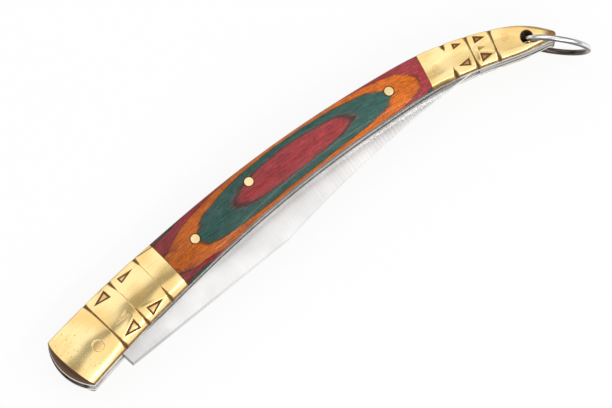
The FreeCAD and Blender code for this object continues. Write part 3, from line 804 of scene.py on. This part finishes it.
def front_bolsters():
    """Grid from the end arc to the junction; the foot's arc stands further out, so the end wall leans."""
    along, across = np.meshgrid(FRONT_ROWS, FRONT_COLUMNS, indexing="ij")
    chord = float(depth_at(0.0))
    rim_height = bolster_height(FRONT_HEIGHTS, 0 * across[0], chord * across[0])
    bulge = END_BULGE + (END_TOP_BULGE - END_BULGE) * rim_height / FRONT_HEIGHTS[0, 1]
    first = -end_arc(across, chord, bulge)
    station = first + (FRONT_JUNCTION - first) * along
    depth = depth_at(station) * across
    height, tarnish_and_shade = cut_bolster(
        FRONT_HEIGHTS, station, depth, FRONT_GROOVES, FRONT_TRIANGLES, FRONT_HATCH)
    height, tarnish_and_shade = seat(height, tarnish_and_shade, station, depth, PIVOT_PLACE, PIVOT_RADIUS, PIVOT_SOIL)
    height, tarnish_and_shade = back_flat(height, tarnish_and_shade, station, depth)
    height, tarnish_and_shade = long_edges(height, tarnish_and_shade, station, depth)
    height = height - worn_edge(station - first, BACK_WEAR)
    # painted shade on the rim at the end
    tarnish_and_shade = np.maximum(tarnish_and_shade, END_RIM_SHADE * fall(station - first, 0.02, 0.2))
    tarnish_and_shade = np.maximum(tarnish_and_shade, JOINT_SOIL * fall(FRONT_JUNCTION - station, *JOINT_WIDTH))
    foot_first = -end_arc(across, chord, END_BULGE)
    foot_station = foot_first + (FRONT_JUNCTION - foot_first) * along
    top = place(station, depth, LINER_TOP + height).reshape(-1, 3)
    foot = place(foot_station, depth_at(foot_station) * across, LINER_TOP).reshape(-1, 3)
    points, faces = between(top, foot, net(*along.shape))
    # painted shade on the walls, darkest on the end wall
    lip = np.full(along.shape, WALL_SHADE)
    foot_shade = np.full(along.shape, WALL_FOOT_SHADE)
    lip[0], foot_shade[0] = END_LIP_SHADE, END_FOOT_SHADE
    stain_and_shade = np.concatenate([tarnish_and_shade.ravel(), lip.ravel(), foot_shade.ravel()])
    both_sides("front_bolster", points, faces, bolster_brass, stain_and_shade)


front_bolsters()

# %% [markdown]
# ## A round hole in a grid
# The tail has a round hole for the ring, but a grid has none, and a Boolean would leave long thin faces round
# it. So a block of faces is left out, and the points round it are drawn from the block's square outline onto
# a circle. Further out they are moved less and less.

# %% Round hole
HOLE_BLOCK, HOLE_FAR = 0.8, 1.75


def drawn_round(station, depth, hole, radius):
    """Moves the grid round a hole: a square block's outline goes to a circle, further out less and less."""
    away = np.hypot(station - hole[0], depth - hole[1])
    row, column = np.unravel_index(np.argmin(away), station.shape)
    row_pitch = station[row + 1, column] - station[row, column]
    column_pitch = depth[row, column + 1] - depth[row, column]
    half = [round(HOLE_BLOCK * radius / abs(pitch)) for pitch in (row_pitch, column_pitch)]
    i, j = np.meshgrid(*map(np.arange, station.shape), indexing="ij")
    a, b = (i - row) / half[0], (j - column) / half[1]
    square = np.maximum(np.abs(a), np.abs(b))
    far = rise(square, 1.0, HOLE_FAR)
    round_scale = radius * square / np.maximum(np.hypot(a, b), 1e-9)
    moved_station = hole[0] + round_scale * a
    moved_depth = hole[1] + round_scale * b
    station = moved_station + (station - moved_station) * far
    depth = moved_depth + (depth - moved_depth) * far
    cell_a, cell_b = a[:-1, :-1] + 0.5 / half[0], b[:-1, :-1] + 0.5 / half[1]
    kept = (np.maximum(np.abs(cell_a), np.abs(cell_b)) > 1).ravel()
    return station, depth, kept


print("a hole moves the grid within", HOLE_FAR, "times its own block")

# %% [markdown]
# ## Rear bolsters
# The rear bolster narrows from the scale to a beak with the hole for the ring. Its grid runs from the
# junction to a small arc at the tail. A flat is worn into its belly edge, and it goes on into the scale.

# %% Rear bolsters
REAR_GROOVES = (
    ((BACK_END - 25.1, BACK_END - 24.45), (1.8, 2.6), 0.22),
    ((BACK_END - 19.75, BACK_END - 18.75), None, 0.13),
    ((BACK_END - 14.35, BACK_END - 13.3), None, 0.15),
)
REAR_TRIANGLES = (
    (BACK_END - 23.05, BACK_END - 20.8, 0.16, 0.8, 0.85),
    (BACK_END - 20.3, BACK_END - 23.4, 0.735, 0.95, 0.85),
    (BACK_END - 18.1, BACK_END - 15.4, 0.17, 0.95, 1.0),
    (BACK_END - 17.7, BACK_END - 15.9, 0.47, 0.6, 0.5),
    (BACK_END - 17.55, BACK_END - 14.5, 0.735, 1.1, 1.0),
)
REAR_HATCH = 0.8
# the wall of the hole is darkened with painted shade
HOLE_RADIUS, HOLE_WEAR, HOLE_SHADE = 1.45, 0.25, 1.4
TAIL_BULGE = 0.9
TAIL_SOIL, TAIL_SOIL_LENGTH = 0.75, 3.5
# the slope of the bevel is darkened with painted shade
BEVEL_DROP, BEVEL_WIDTH, BEVEL_SHADE = 0.45, 0.9, 0.8
BEVEL_FROM, BEVEL_TO = (-4.0, -0.5), (2.0, 9.0)
REAR_ROWS, REAR_COLUMNS = eased(340, 0.5), eased(120, 0.6)


def rear_bevel(station, depth):
    """Flat worn into the belly edge round the rear junction: its depth, fading out both ways."""
    behind = station - REAR_JUNCTION
    near = rise(behind, *BEVEL_FROM) * fall(behind, *BEVEL_TO)
    return BEVEL_DROP * near * fall(depth_at(station) - depth, 0.0, BEVEL_WIDTH)


def rear_bolsters():
    """Grid from the junction to the tail's arc, drawn round the hole, under its dome less cuts and wear."""
    along, across = np.meshgrid(REAR_ROWS, REAR_COLUMNS, indexing="ij")
    last = BACK_END + end_arc(across, float(depth_at(BACK_END)), TAIL_BULGE)
    station = REAR_JUNCTION + (last - REAR_JUNCTION) * along
    depth = depth_at(station) * across
    station, depth, kept = drawn_round(station, depth, HOLE_PLACE, HOLE_RADIUS)
    height, tarnish_and_shade = cut_bolster(REAR_HEIGHTS, station, depth, REAR_GROOVES, REAR_TRIANGLES, REAR_HATCH)
    bevel = rear_bevel(station, depth)
    height, tarnish_and_shade = long_edges(height - bevel, tarnish_and_shade, station, depth)
    height = height - worn_edge(last - station, BACK_WEAR)
    # painted shade on the slope of the bevel
    tarnish_and_shade = np.maximum(tarnish_and_shade, BEVEL_SHADE * rise(bevel, 0.1, 0.3))
    tarnish_and_shade = np.maximum(tarnish_and_shade, JOINT_SOIL * fall(station - REAR_JUNCTION, *JOINT_WIDTH))
    from_hole = np.hypot(station - HOLE_PLACE[0], depth - HOLE_PLACE[1]) - HOLE_RADIUS
    height = height - worn_edge(from_hole, HOLE_WEAR)
    # painted shade on the rounded rim of the hole
    tarnish_and_shade = np.maximum(tarnish_and_shade, fall(from_hole, 0.0, 0.3))
    tarnish_and_shade = np.maximum(tarnish_and_shade, TAIL_SOIL * rise(station, BACK_END - TAIL_SOIL_LENGTH, BACK_END))
    top = place(station, depth, LINER_TOP + height).reshape(-1, 3)
    foot = place(station, depth, LINER_TOP).reshape(-1, 3)
    points, faces = between(top, foot, net(*along.shape)[kept])
    # painted shade on the walls, darkest in the hole
    at_hole = from_hole.ravel() < 0.2
    lip, foot_shade = (np.where(at_hole, HOLE_SHADE, soil_and_shade) for soil_and_shade in (WALL_SHADE, WALL_FOOT_SHADE))
    stain_and_shade = np.concatenate([tarnish_and_shade.ravel(), lip, foot_shade])
    both_sides("rear_bolster", points, faces, bolster_brass, stain_and_shade)


rear_bolsters()

# %% [markdown]
# ## Dyed veneers
# A scale is a block of five veneers, dyed, glued and then ground to a crown, so the colours show as rings
# like contour lines on a map. The veneers of the real block are wavy and the dye has run a little at the
# glue lines. So one finish is used for all: it counts the height over the liner, adds a little noise,
# and picks the colour. The grain runs along the handle, so the noise is stretched along the station.

# %% Wood finish
VENEER = 0.95
WOOD_COLOURS = {
    "green_base": colour(26, 104, 86),
    "maroon": colour(187, 62, 70),
    "orange": colour(244, 122, 14),
    "green": colour(58, 106, 96),
    "red": colour(194, 67, 71),
}
SCALE_PINS = {
    "front_scale_rivet": (FRONT_JUNCTION + 7.8, 6.1),
    "spring_pin": (55.9, 3.9),
    "rear_scale_pin": (REAR_JUNCTION - 9.4, 4.45),
}
PIN_RADIUS = 1.1
PIN_DIRT = (PIN_RADIUS + 0.24, PIN_RADIUS + 0.08)
DYE_RUN, LAST_DYE_RUN = 0.08, 0.18
# the last of these limits places a painted sheen: the wood is darker towards the front
RAGGED, BURNT, REAR_SHEEN = (84.0, 92.0), (39.0, 32.0), (98.0, 45.0)
BURNT_BROWN = colour(118, 36, 26)
GLUE_WIDTH = 0.11
WOOD_RELIEF = 1.2e-5


def from_axis(spot, handle_spot):
    """Distance from the upright axis through a place on the handle, as a wire."""
    x, y, _ = spot.vector("SUBTRACT", place(*handle_spot, 0.0, ORIGIN).tolist()).parts()
    return spot.math("SQRT", x * x + y * y)


def pin_holes(spot):
    """1 in the thin dirty gap round each pin, for all the pins of a scale."""
    holes = 0.0
    for pin_place in SCALE_PINS.values():
        holes = spot.math("MAXIMUM", from_axis(spot, pin_place).step(*PIN_DIRT), holes)
    return holes


def wood(name):
    """Laminated wood: height picks the dye, stretched noise makes grain, pores and wavy glue lines."""
    material, shader, spot = new_finish(name)
    station, depth, height, along = handle_place(spot)
    waves = along.noise((0.22, 0.5, 0.0), 2, 0.5, 4.0)
    teeth = along.noise((1.1, 7.0, 0.0), 2, 0.6, 9.0)
    ragged = 0.14 + 0.4 * station.step(*RAGGED)
    level = (height - LINER_TOP) / VENEER + (waves - 0.5) * 0.3 + (teeth - 0.5) * ragged
    dyes = list(WOOD_COLOURS.values())
    tone = dyes[0]
    for number, dye in enumerate(dyes[1:], 1):
        soft = DYE_RUN if number < len(dyes) - 1 else LAST_DYE_RUN
        tone = level.step(number - soft, number + soft).mix(tone, dye)
    to_glue = abs(level.math("FRACT", level + 0.5) - 0.5)
    glue = to_glue.step(GLUE_WIDTH, 0.0) * (0.35 + 1.1 * waves)
    grain = along.noise((0.25, 3.6, 3.6), 4, 0.65, 2.0)
    fibre = along.noise((1.2, 22.0, 22.0), 3, 0.6, 5.0)
    blotch = spot.noise(0.45, 3, 0.55, 1.0)
    pores = along.noise((2.2, 14.0, 14.0), 2, 0.5, 8.0).step(0.62, 0.74)
    speckle = spot.noise(2.6, 2, 0.6, 13.0)
    burnt = station.step(*BURNT) * blotch.step(0.42, 0.58)
    # painted sheen: darker towards the front, so the rear looks hazy with reflected light
    tone = station.step(*REAR_SHEEN).dim(tone, 0.72)
    tone = (burnt * 0.7).mix(tone, BURNT_BROWN)
    tone = grain.step(0.64, 0.36).dim(tone, 0.58)
    tone = speckle.step(0.6, 0.4).dim(tone, 0.8)
    tone = blotch.step(0.58, 0.3).dim(tone, 0.76)
    tone = pores.dim(tone, 0.6)
    tone = glue.dim(tone, 0.35)
    tone = pin_holes(spot).dim(tone, 0.25)
    rough = 0.36 + 0.16 * fibre + 0.1 * pores
    relief = grain * 0.5 + fibre * 0.5 - pores * 0.8 - glue * 0.5
    feed(shader, Base_Color=tone, Roughness=rough, Normal=relief.bump(WOOD_RELIEF))
    feed(shader, Specular_IOR_Level=0.15, Coat_Weight=0.35, Coat_Roughness=0.16)
    return material


dyed_wood = wood("dyed laminated wood")
print("wood of", len(WOOD_COLOURS), "dyes")

# %% [markdown]
# ## Crown of the scales
# The crown of a scale rises from both junctions to the middle. Its back edge follows later and its belly edge
# sooner, and flats are worn into the belly edge at both junctions. Each of these is a power of one parabola
# along the handle, so a few numbers shape the whole scale and the colour rings with it.

# %% Crown of the scales
SCALE_CROWN = 4.35
BACK_EDGE, BELLY_EDGE = 2.0, 2.4
SCALE_HALF = (REAR_JUNCTION - FRONT_JUNCTION) / 2
FRONT_LOW, REAR_LOW = FRONT_HEIGHTS[-1, 1:3].tolist(), REAR_HEIGHTS[0, 1:3].tolist()
CROWN_DELAYS = (1.2, 1.0)
BACK_DELAY, BELLY_DELAY = 2.1, 0.58
FRONT_SHIFT, MIDDLE_SHIFT, REAR_SHIFT = 0.24, 0.04, 0.34
SCALE_LATE = 0.35
SCALE_WEAR = 0.3
FRONT_DROP, FRONT_WIDTH = 0.95, 1.6
FRONT_LEAST, FRONT_FULL, FRONT_FADE = 0.3, 3.0, (5.0, 12.0)


def scale_shape(station):
    """Crown, back edge, belly edge and shift: powers of a parabola from the junctions to the middle."""
    front = station < SCALE_MIDDLE
    lift = np.clip(1 - ((station - SCALE_MIDDLE) / SCALE_HALF) ** 2, 0, 1)
    low_crown = np.where(front, FRONT_LOW[0], REAR_LOW[0])
    low_edge = np.where(front, FRONT_LOW[1], REAR_LOW[1])
    low_shift = np.where(front, FRONT_SHIFT, REAR_SHIFT)
    crown = low_crown + (SCALE_CROWN - low_crown) * lift ** np.where(front, *CROWN_DELAYS)
    back_edge = low_edge + (BACK_EDGE - low_edge) * lift ** BACK_DELAY
    belly_edge = low_edge + (BELLY_EDGE - low_edge) * lift ** BELLY_DELAY
    return crown, back_edge, belly_edge, low_shift + (MIDDLE_SHIFT - low_shift) * lift


def front_bevel(station, depth):
    """Flat worn into the belly edge behind the front junction, where it lays the green base bare."""
    behind = station - FRONT_JUNCTION
    near = FRONT_LEAST + (1 - FRONT_LEAST) * rise(behind, 0.0, FRONT_FULL)
    near = near * fall(behind, *FRONT_FADE)
    return FRONT_DROP * near * fall(depth_at(station) - depth, 0.0, FRONT_WIDTH)


def scale_height(station, depth):
    """Height over the liner: the dome, less the two flats, with both long edges worn round."""
    across = depth_at(station)
    worn = worn_edge(np.minimum(depth, across - depth), SCALE_WEAR)
    crown, back_edge, belly_edge, shift = scale_shape(station)
    share = 2 * depth / across - 1
    edge = np.where(share > shift, belly_edge, back_edge)
    bevels = rear_bevel(station, depth) + front_bevel(station, depth)
    return dome(share, crown, edge, shift, SCALE_LATE) - worn - bevels


print("scales rise", SCALE_CROWN, "mm over the liners")

# %% [markdown]
# ## Veneer pieces
# A veneer is what lies between two heights: at every station it reaches from the contour line of its lower
# height at the back to the one at the belly. The block could be sliced with planes, but a grid between
# contour lines has its edges just where the veneers meet. A contour is found by halving, for all stations at
# once, and the sheet follows the crown up to the veneer's upper height, where the next veneer covers it.

# %% Veneer pieces
HALVINGS = 40
VENEER_TIP = 0.01
VENEER_ROWS, SLOPE_COLUMNS, FLAT_COLUMNS = eased(240, 0.9), eased(22, 0.5), np.linspace(0, 1, 5)


def contour(station, height, side):
    """Depth where the scale is as high as asked, between the crown line and one edge, by halving the span."""
    shift = scale_shape(station)[-1]
    inner = depth_at(station) * (1 + shift) / 2
    outer = depth_at(station) * side
    for _ in range(HALVINGS):
        middle = (inner + outer) / 2
        above = scale_height(station, middle) > height
        inner, outer = np.where(above, middle, inner), np.where(above, outer, middle)
    return (inner + outer) / 2


def veneer_end(low, start, delay):
    """How far from the middle the crown still reaches a height: the parabola's power turned round."""
    lift = max(0.0, (low - start) / (SCALE_CROWN - start)) ** (1 / delay)
    return SCALE_HALF * math.sqrt(1 - lift)


def veneer(name, low, high):
    """Closed veneer between two heights over the liner, for both sides of the handle.

    Its pointed ends stop where it is still a hair thick, so that top and foot never touch there."""
    first = SCALE_MIDDLE - veneer_end(low + VENEER_TIP, FRONT_LOW[0], CROWN_DELAYS[0])
    last = SCALE_MIDDLE + veneer_end(low + VENEER_TIP, REAR_LOW[0], CROWN_DELAYS[1])
    station = first + (last - first) * VENEER_ROWS
    top_level = np.minimum(high, scale_shape(station)[0])
    lines = [contour(station, low, 0.0), contour(station, top_level, 0.0)]
    lines += [contour(station, top_level, 1.0), contour(station, low, 1.0)]
    ways = zip(lines, lines[1:], (SLOPE_COLUMNS, FLAT_COLUMNS, SLOPE_COLUMNS))
    bands = [a[:, None] + (b - a)[:, None] * way for a, b, way in ways]
    depth = np.concatenate([bands[0], bands[1][:, 1:-1], bands[2]], 1)
    station = np.broadcast_to(station[:, None], depth.shape)
    height = np.clip(scale_height(station, depth), low, high)
    top = place(station, depth, LINER_TOP + height).reshape(-1, 3)
    foot = place(station, depth, LINER_TOP + low).reshape(-1, 3)
    points, faces = between(top, foot, net(*depth.shape))
    slot = ("green" if name == "green_base" else name) + "_veneer"
    both_sides("scale_" + name, points, faces, dyed_wood)


for number, name in enumerate(WOOD_COLOURS):
    top_one = number == len(WOOD_COLOURS) - 1
    veneer(name, number * VENEER, SCALE_CROWN + 1 if top_one else (number + 1) * VENEER)

# %% [markdown]
# ## Pins and rivets
# The pins are brass rod, hammered over and ground flush, so a head has the slope of the surface round it and
# a slightly rounded, darker rim. A plain cylinder would stand out on one side of a dome and sink in on the
# other. So a head is a disc of rings and spokes whose height is that of the dome under it,
# and the two heads of a pin are joined by its shank.

# %% Pins
BOLSTER_PINS = {"rear_bolster_pin": (REAR_JUNCTION + 2.8, 4.6), "tail_pin": (BACK_END - 11.15, 2.4)}
HEAD_PROUD, GROUND_PROUD = 0.04, 0.006
HEAD_FLAT, HEAD_ROLL = 0.8, 0.05
PIVOT_RIM, SCALE_RIM, GROUND_RIM = 0.3, 1.2, 0.0
RIM_SOIL = (0.86, 0.97)
SPOKES, HEAD_RINGS, ROLL_RINGS, ROLL_START = 60, 9, 8, 0.15


def pin(name, pin_place, radius, surface, finish, rim, proud=HEAD_PROUD, short=False):
    """Closed pin: rings from the middle of the upper head to its rim, down the shank and over the lower end.

    A short pin ends at the liner's inner face and is made once for each side."""
    rolled = HEAD_FLAT + (1 - HEAD_FLAT) * np.sin(np.linspace(ROLL_START, np.pi / 2, ROLL_RINGS))
    out = np.concatenate([np.linspace(0, HEAD_FLAT, HEAD_RINGS), rolled])
    ring, angle = np.meshgrid(out, np.linspace(0, 2 * np.pi, SPOKES + 1), indexing="ij")
    station = pin_place[0] + radius * ring * np.cos(angle)
    depth = pin_place[1] + radius * ring * np.sin(angle)
    roll = HEAD_ROLL * worn_edge((1 - ring) / (1 - HEAD_FLAT), 1.0)
    head = LINER_TOP + surface(station, depth) + proud - roll
    upper = place(station, depth, head)
    lower = place(station, depth, LINER_BASE if short else -head)
    points = np.concatenate([upper, lower[::-1]])
    soil_and_shade = rim * rise(ring, *RIM_SOIL)
    soil_and_shade = np.concatenate([soil_and_shade, soil_and_shade[::-1]]).ravel()
    faces = net(points.shape[0], points.shape[1])
    signs = ((name + "_top", 1), (name + "_bottom", -1)) if short else ((name, 1),)
    for node, sign in signs:
        placed = points.reshape(-1, 3) * (1, 1, sign) + ORIGIN
        piece = make_piece(node + "_shaped", placed, faces, finish, "handle", soil_and_shade)
        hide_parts(node)
    print(name, "with", len(piece.data.polygons), "faces")


front_surface = functools.partial(bolster_height, FRONT_HEIGHTS)
rear_surface = functools.partial(bolster_height, REAR_HEIGHTS)
pin("pivot_pin", PIVOT_PLACE, PIVOT_RADIUS, front_surface, flush_brass, PIVOT_RIM)
for name, pin_place in SCALE_PINS.items():
    pin(name, pin_place, PIN_RADIUS, scale_height, pin_brass, SCALE_RIM, short=name == "front_scale_rivet")
for name, pin_place in BOLSTER_PINS.items():
    pin(name, pin_place, PIN_RADIUS, rear_surface, flush_brass, GROUND_RIM, GROUND_PROUD)

# %% [markdown]
# ## Painted shade on the blade
# A thin dark line of painted shadow lies on the blade just outside the edge of the liner, where it lies
# folded, and the blade's square sides, at the end of its heel and along its spine, are darkened with painted
# shade.
# The blade keeps its imported shape, so both are found from distances: to the belly edge of the handle, and
# to two planes of the blade.

# %% Painted shade on the blade
# painted shadow: a dark line on the blade along the liner's edge
SHADOW_LINE_FROM, SHADOW_LINE_TO, SHADOW_LINE_FADE = 15.0, 108.0, 6.0
SHADOW_LINE_INSIDE, SHADOW_LINE_OUTSIDE = (-0.1, 0.04), (0.3, 0.16)
shadow_line_stations = np.linspace(SHADOW_LINE_FROM, SHADOW_LINE_TO, 200)
shadow_line_curve = np.polyfit(shadow_line_stations, depth_at(shadow_line_stations), 4)


def shadow_line(station, depth):
    """1 on the painted shadow line: a narrow band of depth less a fourth-power fit of the handle's depth."""
    fit = float(shadow_line_curve[0])
    for factor in shadow_line_curve[1:]:
        fit = station * fit + float(factor)
    past = depth - fit
    return past.step(*SHADOW_LINE_INSIDE) * past.step(*SHADOW_LINE_OUTSIDE) * station.step(SHADOW_LINE_FROM, SHADOW_LINE_FROM + SHADOW_LINE_FADE)


HEEL_AHEAD, HEEL_DROP = 2.95, 7.45
CLIP_STATION, CLIP_PROUD = 55.6, 7.0
RIM = (0.14, 0.056)
# painted shade on the square sides of the blade
HEEL_END_SHADE, SPINE_SHADE, NEAR_HEEL_SHADE = 0.8, 0.06, 0.32
SPINE_FADE = (48.0, 18.0)
pivot_heading = float(on_back(PIVOT_PLACE[0])[2])
heel_along = np.array([math.cos(pivot_heading), math.sin(pivot_heading), 0])
heel_down = np.array([math.sin(pivot_heading), -math.cos(pivot_heading), 0])
heel_corner = place(*PIVOT_PLACE, 0.0, ORIGIN) + heel_along * HEEL_AHEAD + heel_down * HEEL_DROP
clip_corner = place(CLIP_STATION, depth_at(CLIP_STATION) + CLIP_PROUD, 0.0, ORIGIN)
spine_way = (clip_corner - heel_corner) / np.linalg.norm(clip_corner - heel_corner)
spine_square = np.array([-spine_way[1], spine_way[0], 0])


def square_edge_shade(spot, station):
    """How much painted shade darkens the blade's square sides: most at the end of the heel, less along the
    spine.
    """
    off = spot.vector("SUBTRACT", heel_corner.tolist())
    from_end = abs(off.vector("DOT_PRODUCT", heel_along.tolist()))
    from_spine = abs(off.vector("DOT_PRODUCT", spine_square.tolist()))
    spine = from_spine.step(*RIM) * (SPINE_SHADE + NEAR_HEEL_SHADE * station.step(*SPINE_FADE))
    return spot.math("MAXIMUM", HEEL_END_SHADE * from_end.step(*RIM), spine)


print("spine runs", round(math.dist(heel_corner, clip_corner), 1), "mm from the heel to the clip")

# %% [markdown]
# ## Steel
# Three steels show. The blade is ground across its length, so it is satin and keeps faint lines of the wheel,
# with a duller unground heel. The spring and the liners are plain grey strips with file marks along them, and
# grime and painted shade where they meet, in the slot and round the tail hole. Each is a metal with its own
# grain in roughness and bump, which is lighter than carving it into the mesh, and the grime and painted shade
# are dark, rough and hardly metallic.

# %% Steel finishes
HEEL_END = (23.0, 19.0)
CALM = (95.0, 45.0)
GRIND_PITCH = 0.95
SLOT_DEPTH, SLOT_START, SLOT_END = (12.2, 12.8), (4.0, 8.0), (119.0, 116.0)
# grime and painted shade: round the tail hole, on the inner faces, and their colour below
HOLE_GRIME_AND_SHADE = (1.9, 1.5)
INNER_FACE = (LINER_BASE + 0.06, LINER_BASE + 0.02)
STEEL_GRIME_AND_SHADE = colour(44, 34, 26)


def seam_grime_and_shade(spot, station, depth, height, blots, clean, soiled, belly_clean):
    """Grime and painted shade that grow from a clean to a soiled height and round the tail hole.

    Where the slot is open to the belly they are left out, and belly_clean is how fully they are left out
    there."""
    open_belly = spot.math("MAXIMUM", depth.step(*SLOT_DEPTH), station.step(*SLOT_START))
    open_belly = open_belly * station.step(*SLOT_END) * belly_clean
    seams = height.step(clean, soiled) * (0.55 + 0.7 * blots) * (1 - open_belly)
    at_hole = from_axis(spot, HOLE_PLACE).step(*HOLE_GRIME_AND_SHADE)
    return spot.math("MINIMUM", spot.math("MAXIMUM", at_hole, seams), 1.0)


def steel(name, dull, bright, stretch, rough, reach, clean, soiled, heel=0.0, belly_clean=0.0, shine=1.0):
    """Steel whose fine lines come from stretched noise; a heel of 1 gives it the blade's wheel lines, its
    unground heel, its painted shadow line and the painted shade on its square sides.
    """
    material, shader, spot = new_finish(name)
    station, depth, height, along = handle_place(spot)
    lines = along.noise(stretch, 4, 0.65, 2.0)
    clouds = spot.noise(0.12, 3, 0.5, 6.0)
    blots = spot.noise(0.9, 4, 0.6, 3.0)
    wheel = spot.math("SINE", station * (2 * math.pi / GRIND_PITCH) + lines * 2.5)
    lines = lines * (1 - 0.55 * heel) + (0.275 + 0.065 * wheel) * heel
    grime_and_shade = seam_grime_and_shade(spot, station, depth, height, blots, clean, soiled, belly_clean)
    unground = station.step(*HEEL_END) * heel
    calm = 0.8 * unground + 0.8 * station.step(*CALM) * heel * (1 - unground)
    lines = lines * (1 - calm) + 0.45 * calm
    tone = (lines * 0.6 + clouds * 0.4).step(*CLOUDY).mix(dull, bright)
    tone = (unground * (0.6 + 0.8 * blots)).dim(tone, 0.85)
    # painted shadow along the liner's edge
    painted_shadow = shadow_line(station, depth) * heel
    tone = (painted_shadow * (0.5 + 0.7 * blots)).dim(tone, 0.12)
    # painted shade on the square sides of the blade
    tone = (square_edge_shade(spot, station) * heel).dim(tone, 0.2)
    # grime, and painted shade in the slot, along the seams and round the tail hole
    tone = grime_and_shade.mix(tone, STEEL_GRIME_AND_SHADE)
    inner = height.step(*INNER_FACE) * belly_clean
    roughness = rough + 0.12 * lines + 0.06 * unground + 0.3 * grime_and_shade + 0.35 * inner
    metal = shine - 0.8 * grime_and_shade * shine
    feed(shader, Base_Color=tone, Metallic=metal, Roughness=roughness, Normal=lines.bump(reach))
    return material


BLADE_LINES, STRIP_LINES = (1.5, 0.08, 0.3), (0.3, 7.0, 7.0)
blade_steel = steel(
    "ground blade steel", colour(226, 225, 223), colour(250, 250, 250), BLADE_LINES,
    rough=0.28, reach=4e-7, clean=5.0, soiled=6.0, heel=1.0, shine=0.5)
spring_steel = steel(
    "spring steel", colour(140, 138, 134), colour(190, 188, 184), STRIP_LINES,
    rough=0.26, reach=2e-6, clean=0.7, soiled=1.1)
liner_steel = steel(
    "liner steel", colour(196, 193, 188), colour(236, 234, 230), STRIP_LINES,
    rough=0.16, reach=1e-6, clean=1.75, soiled=1.5, belly_clean=1.0)
steel_nodes = {"blade": blade_steel, "backspring": spring_steel}
steel_nodes |= {"liner_top": liner_steel, "liner_bottom": liner_steel}
for name, finish in steel_nodes.items():
    nodes[name].data.materials.clear()
    nodes[name].data.materials.append(finish)
print("steel on", ", ".join(steel_nodes))

# %% [markdown]
# ## Ring
# The ring is bent from drawn wire with its two ends butted together. It is a circle carried round a circle,
# with a fine seam where the ends meet; Blender's own torus has no seam. It leans a little, as it lies in the
# photograph. The die leaves streaks along drawn wire, so the finish takes its noise round the wire and
# hardly along it.

# %% Ring
RING_OUTER, RING_WIRE = 7.8, 0.65
RING_HEADING, RING_LEAN = math.radians(-41), math.radians(5)
SEAM_TURN, SEAM_WIDTH, SEAM_DEPTH = 0.35, 0.07, 0.1
# painted dark reflection on the inside of the wire, and painted shade on its sides
INNER_DARK_REFLECTION = (RING_OUTER - 1.2 * RING_WIRE, RING_OUTER - 0.6 * RING_WIRE)
SIDE_SHADE = (0.42 * RING_WIRE, 0.8 * RING_WIRE)
WIRE_GREY, WIRE_PALE, WIRE_DARK_REFLECTION = colour(214, 212, 210), colour(250, 249, 247), colour(84, 76, 70)
WIRE_RELIEF = 3e-6
RING_STEPS, WIRE_STEPS = 320, 40
outward = np.array([math.cos(RING_HEADING), math.sin(RING_HEADING), 0])
level_axis = np.array([-outward[1], outward[0], 0])
ring_axis = level_axis * math.cos(RING_LEAN) + np.array([0, 0, math.sin(RING_LEAN)])
ring_up = np.cross(outward, ring_axis)
ring_middle = np.array((ring_low + ring_high) / 2) * 1000


def wire_finish(name):
    """Drawn wire, bright outside, with a painted dark reflection inside and painted shade on its sides: noise
    over its section, nearly the same along the ring.
    """
    material, shader, spot = new_finish(name)
    off = spot.vector("SUBTRACT", ring_middle.tolist())
    out, up, aside = (off.vector("DOT_PRODUCT", axis.tolist()) for axis in (outward, ring_up, ring_axis))
    radius, turn = spot.math("SQRT", out * out + up * up), spot.math("ARCTAN2", up, out)
    section = spot.add("ShaderNodeCombineXYZ", {0: radius, 1: aside, 2: turn})
    streaks = section.noise((5.0, 5.0, 0.9), 3, 0.6)
    # the mask worn here is a painted dark reflection on the inside of the wire
    worn = (radius + (streaks - 0.5) * 0.5).step(*INNER_DARK_REFLECTION)
    tone = streaks.step(*CLOUDY).mix(WIRE_GREY, WIRE_PALE)
    # painted shade on the sides of the wire
    tone = abs(aside).step(*SIDE_SHADE).dim(tone, 0.16)
    tone = worn.mix(WIRE_DARK_REFLECTION, tone)
    rough = 0.12 + 0.1 * streaks
    feed(shader, Base_Color=tone, Metallic=1.0, Roughness=rough, Normal=streaks.bump(WIRE_RELIEF))
    return material


def ring():
    """Circle of wire carried round the ring's circle; the wire thins at its seam."""
    turns = (np.linspace(0, 2 * np.pi, steps + 1) for steps in (RING_STEPS, WIRE_STEPS))
    turn, around = np.meshgrid(*turns, indexing="ij")
    seam = np.exp(-((turn - SEAM_TURN) * RING_OUTER / SEAM_WIDTH) ** 2)
    wire = RING_WIRE - SEAM_DEPTH * seam
    reach = RING_OUTER - RING_WIRE + wire * np.cos(around)
    points = outward * (reach * np.cos(turn))[..., None] + ring_up * (reach * np.sin(turn))[..., None]
    points = points + ring_axis * (wire * np.sin(around))[..., None] + ring_middle
    points, faces = points.reshape(-1, 3), net(*turn.shape)
    finish = wire_finish("bright wire")
    piece = make_piece("lanyard_ring_shaped", points, faces, finish, "ring")
    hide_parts("lanyard_ring")
    print("ring with", len(piece.data.polygons), "faces")


ring()
